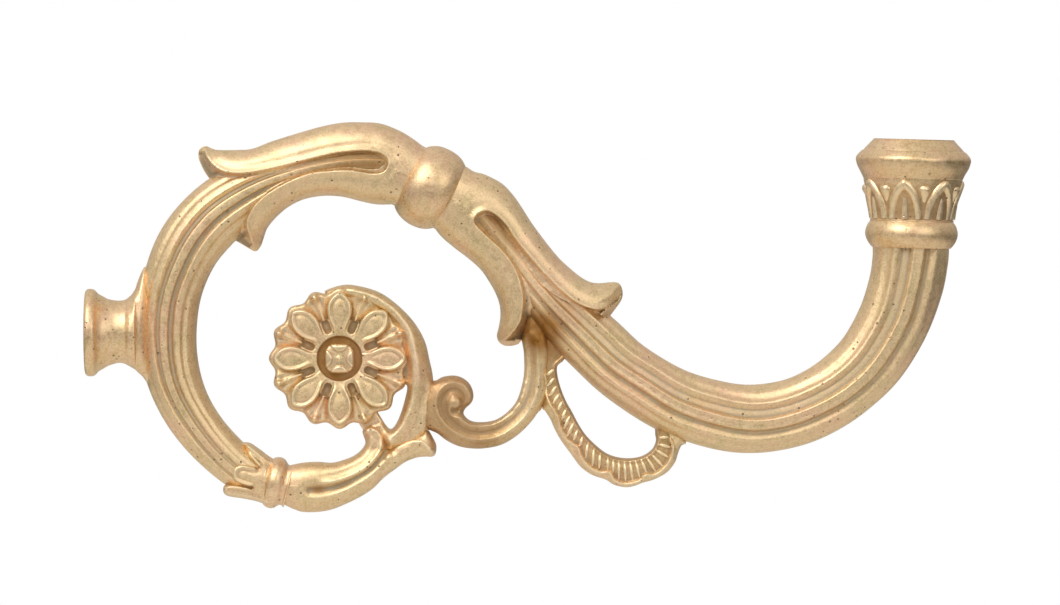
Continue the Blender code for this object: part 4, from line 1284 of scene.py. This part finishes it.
def flower_recess_shade(points):
    """Painted shade in the hollow round the boss and in the slots."""
    out = off_spot(points, FLOWER_CENTRE.x, FLOWER_CENTRE.z)
    low = np.clip((3.1 - np.abs(points[:, 1])) / 0.8, 0, 1)
    return np.clip((5.6 - out) / 0.4, 0, 1) + 0.35 * low * np.clip((10.5 - out) / 1.5, 0, 1)


copies_maker = turned_copies_tree()
for node, half_turn in (("rosette_front", 0.0), ("rosette_back", pi)):
    sizes = {"Count": FLOWER_COUNT, "Weld": 2e-6, "Finish": CHASED}
    leaflets = grown("leaflets_" + node[8:], copies_maker, leaflet_sector(), sizes)
    leaflets.data.transform(Matrix.Rotation(pi / FLOWER_COUNT, 4, "Y"))
    petals = grown("petals_" + node[8:], copies_maker, petal(), sizes)
    turn = Matrix.Rotation(half_turn, 4, "Z")
    turn.translation = FLOWER_CENTRE * MM
    for piece in (leaflets, petals):
        piece.data.transform(turn)
        face_outwards(piece.data)
        fit(piece, node, flower_recess_shade)

# ================================================================ rosette boss
# A square headed pin through both flowers holds them together. Its rounded head has a curved facet along
# each side and a small nub in the middle.
BOSS_REACH = 3.55
BOSS_SQUARENESS = 3.4


def boss():
    """A square with bulging sides, and on it a raised lens along each side."""
    angles = np.linspace(0, 2 * pi, 97)[:-1]
    rise = np.abs(np.cos(angles)) ** BOSS_SQUARENESS + np.abs(np.sin(angles)) ** BOSS_SQUARENESS
    reach = BOSS_REACH / rise ** (1 / BOSS_SQUARENESS)
    middle = np.array([FLOWER_CENTRE.x, FLOWER_CENTRE.z])
    outline = np.column_stack([np.cos(angles), np.sin(angles)]) * reach[:, None] + middle
    ring = closed(outline)

    def height(points):
        x, z = (points - middle).T
        top = 3.1 + 1.25 * rounding(gap_to(points, ring), 0.8) - 0.03 * (x * x + z * z)
        for out, aside in ((x, z), (-x, z), (z, x), (-z, x)):
            top += 0.6 * rounding(out - 1.6 - 0.3 * aside ** 2, 0.7)
        return top + 0.5 * hump(np.hypot(x, z), 0.42)

    return moulded("boss", outline, height, FITTING, pitch=0.16, seed=29)


fit(boss(), "rosette_pin")

# ================================================================ link scroll
# A cast C scroll that joins the stem to the outer leaf. It curls into a volute with a round eye against the
# stem, and a wide groove runs along its middle between two rounded edges.
LINK_EDGE = [
    (82.7, -11.2), (84.2, -10.4), (86.7, -10.1), (88.8, -10.7), (90.5, -12.2), (91.3, -14.5), (90.9, -16.4),
    (89.4, -17.9), (89.0, -19.1), (90.1, -20.4), (91.7, -21.0), (94.3, -21.0), (96.8, -20.4), (99.3, -18.7),
    (101.4, -16.2), (102.6, -12.8), (103.2, -9.5), (103.2, -5.7), (103.0, -3.6), (102.6, -1.1), (103.2, 2.8),
    (104.6, 6.4), (107.6, 5.6), (109.0, 0.6), (109.6, -4.4), (108.9, -9.9), (108.7, -14.9), (107.7, -17.0),
    (107.1, -18.3), (106.4, -18.9), (105.2, -20.6), (103.1, -22.9), (100.5, -25.0), (97.6, -26.5),
    (94.3, -27.2), (91.3, -27.3), (88.0, -26.8), (85.0, -25.4), (82.9, -23.8), (81.2, -23.0), (79.6, -22.1),
    (79.1, -16.2), (80.8, -12.0),
]
LINK_GROOVE = [
    (86.7, -18.6), (88.5, -17.9), (89.2, -16.2), (88.7, -14.4), (87.1, -13.4), (85.4, -13.9), (84.3, -16.0),
    (84.6, -18.5), (86.5, -21.0), (89.6, -22.9), (93.0, -23.5), (96.8, -22.7), (100.1, -20.6), (102.6, -17.9),
    (104.3, -14.5), (104.9, -10.7), (104.7, -6.5), (104.4, -1.9),
]
VOLUTE_EYE = (87.0, -16.4)
EYE_RADIUS = 1.45


def link_scroll():
    outline = flowing(closed(LINK_EDGE), 4)[:-1]
    form = swelling(outline)
    groove = flowing(LINK_GROOVE, 6)

    def height(points):
        body = no_deeper(form(points) * 1.1, 4.0)
        gap = gap_to(points, groove)
        body += 0.28 * hump(gap - 1.75, 0.5) - 0.85 * hump(gap, 1.0)
        out = off_spot(points, *VOLUTE_EYE)
        dome = 3.3 + np.sqrt(np.maximum(1 - (out / EYE_RADIUS) ** 2, 0))
        return np.where(out < EYE_RADIUS, np.maximum(body, dome), body)

    return moulded("link_volute", outline, height, CHASED, pitch=0.22, ridges=(groove,), seed=31)


# The cup tube's mask paints shade on the link scroll left of x 104 and round the fork.
fit(link_scroll(), "link_scroll", cup_recess_shade)

# ================================================================ garland
# A cast swag that hangs from the outer leaf and turns up to meet the cup tube. A scalloped bead runs along
# its lower side, and fine ribs fill it from the bead to its plain inner edge.
GARLAND_EDGE = [
    (112.3, -6.8), (111.0, -8.0), (111.1, -10.3), (111.9, -13.3), (113.1, -16.2), (114.4, -18.5),
    (116.1, -21.7), (117.8, -24.2), (120.3, -26.7), (122.8, -28.5), (125.7, -29.4), (128.7, -29.5),
    (131.2, -28.9), (133.3, -27.4), (134.2, -25.4), (134.0, -23.5), (134.5, -20.4), (139.6, -22.1),
    (141.3, -25.8), (140.2, -26.6), (139.4, -28.4), (138.7, -30.5), (136.8, -32.9), (133.7, -34.6),
    (131.2, -35.3), (129.1, -36.1), (127.0, -36.4), (124.3, -35.8), (122.4, -34.6), (119.2, -33.5),
    (116.5, -31.6), (114.4, -28.8), (111.9, -25.4), (110.3, -22.5), (109.4, -20.4), (108.1, -18.4),
    (107.5, -17.9), (107.7, -15.4), (107.7, -12.0), (106.6, -8.6), (105.8, -4.4), (105.4, -0.3), (105.6, 3.1),
    (110.6, 1.4), (113.6, -4.0),
]
GARLAND_BEAD = [
    (105.3, 0.2), (105.6, -4.0), (106.5, -7.8), (108.1, -10.6), (108.0, -13.3), (109.0, -16.2),
    (111.0, -19.6), (111.7, -22.5), (113.2, -25.1), (115.7, -26.9), (116.6, -29.3), (118.6, -31.6),
    (121.0, -32.8), (123.3, -32.8), (124.4, -34.7), (126.6, -35.6), (129.1, -35.3), (130.8, -34.6),
    (131.7, -33.5), (134.2, -33.3), (136.7, -31.2), (138.0, -28.8), (138.2, -26.5), (137.6, -25.0),
]
RIB_SPACING = 1.25
RIB_THICKNESS = 0.46
garland_bead = flowing(GARLAND_BEAD, 6)
garland_edge = flowing(closed(GARLAND_EDGE), 4)[:-1]
garland_ring = closed(garland_edge)
garland_form = swelling(garland_edge)


def garland_inside(points):
    """The ribbed band between the bead and the inner edge."""
    return within(points, np.vstack([garland_bead, [(134.0, -10.0), (108.0, 6.0)]]))


def garland_height(points):
    body = no_deeper(garland_form(points) * 1.25, 3.3)
    gap = gap_to(points, garland_bead)
    rim = gap_to(points, garland_ring)
    band = np.where(garland_inside(points), rounding(gap - 0.3, 0.9) * rounding(rim - 0.75, 0.8), 0)
    return body + 0.5 * hump(gap, 0.34) - 0.75 * band


def garland_recess_shade(points):
    """Painted shade in the fork and between the ribs."""
    flat = points[:, [0, 2]]
    return cup_recess_shade(points) + 0.5 * garland_inside(flat) * (gap_to(flat, garland_bead) > 0.5)


def garland_ribs():
    """Follows each rib from the inner edge down to the bead, on the front and on the back."""
    inner = evenly(flowing(GARLAND_EDGE[1:16], 6), RIB_SPACING * 0.5)
    run = np.linspace(0, 1, len(inner))
    lines = []
    thickness = []
    last = None
    for k in range(1, len(inner) - 1):
        along = inner[k + 1] - inner[k - 1]
        along /= np.linalg.norm(along)
        outward = np.array([along[1], -along[0]])
        slant = radians(np.interp(run[k], [0, 0.55, 0.7, 1], [38, 36, 8, 0]))
        way = outward * cos(slant) + along * sin(slant)
        if last is not None:
            step = inner[k] - last
            if abs(step[0] * way[1] - step[1] * way[0]) < RIB_SPACING * 0.9:
                continue
        last = inner[k]
        steps = inner[k] + outward * 0.75 + np.arange(0, 9, 0.2)[:, None] * way
        near = gap_to(steps, garland_bead) < 0.6
        keep = int(np.argmax(near)) if near.any() else 0
        steps = steps[:keep]
        if keep < 6:
            continue
        taper = np.sin(np.linspace(0.2, pi - 0.2, keep)) ** 0.6 * RIB_THICKNESS
        rise = garland_height(steps) - 0.05
        for side in (-1, 1):
            lines.append([(x * MM, side * y * MM, z * MM) for (x, z), y in zip(steps, rise)])
            thickness += list(taper * MM)
    mesh = line_mesh("ribs", lines, {"thickness": thickness})
    piece = grown("garland_ribs", beads_maker, mesh, {"Count": 1, "Section Points": 10, "Finish": CHASED})
    face_outwards(piece.data)
    return piece


swag = moulded("garland_body", garland_edge, garland_height, CHASED, pitch=0.22, ridges=(garland_bead,),
               seed=33)
fit(swag, "garland", garland_recess_shade)
fit(garland_ribs(), "garland")
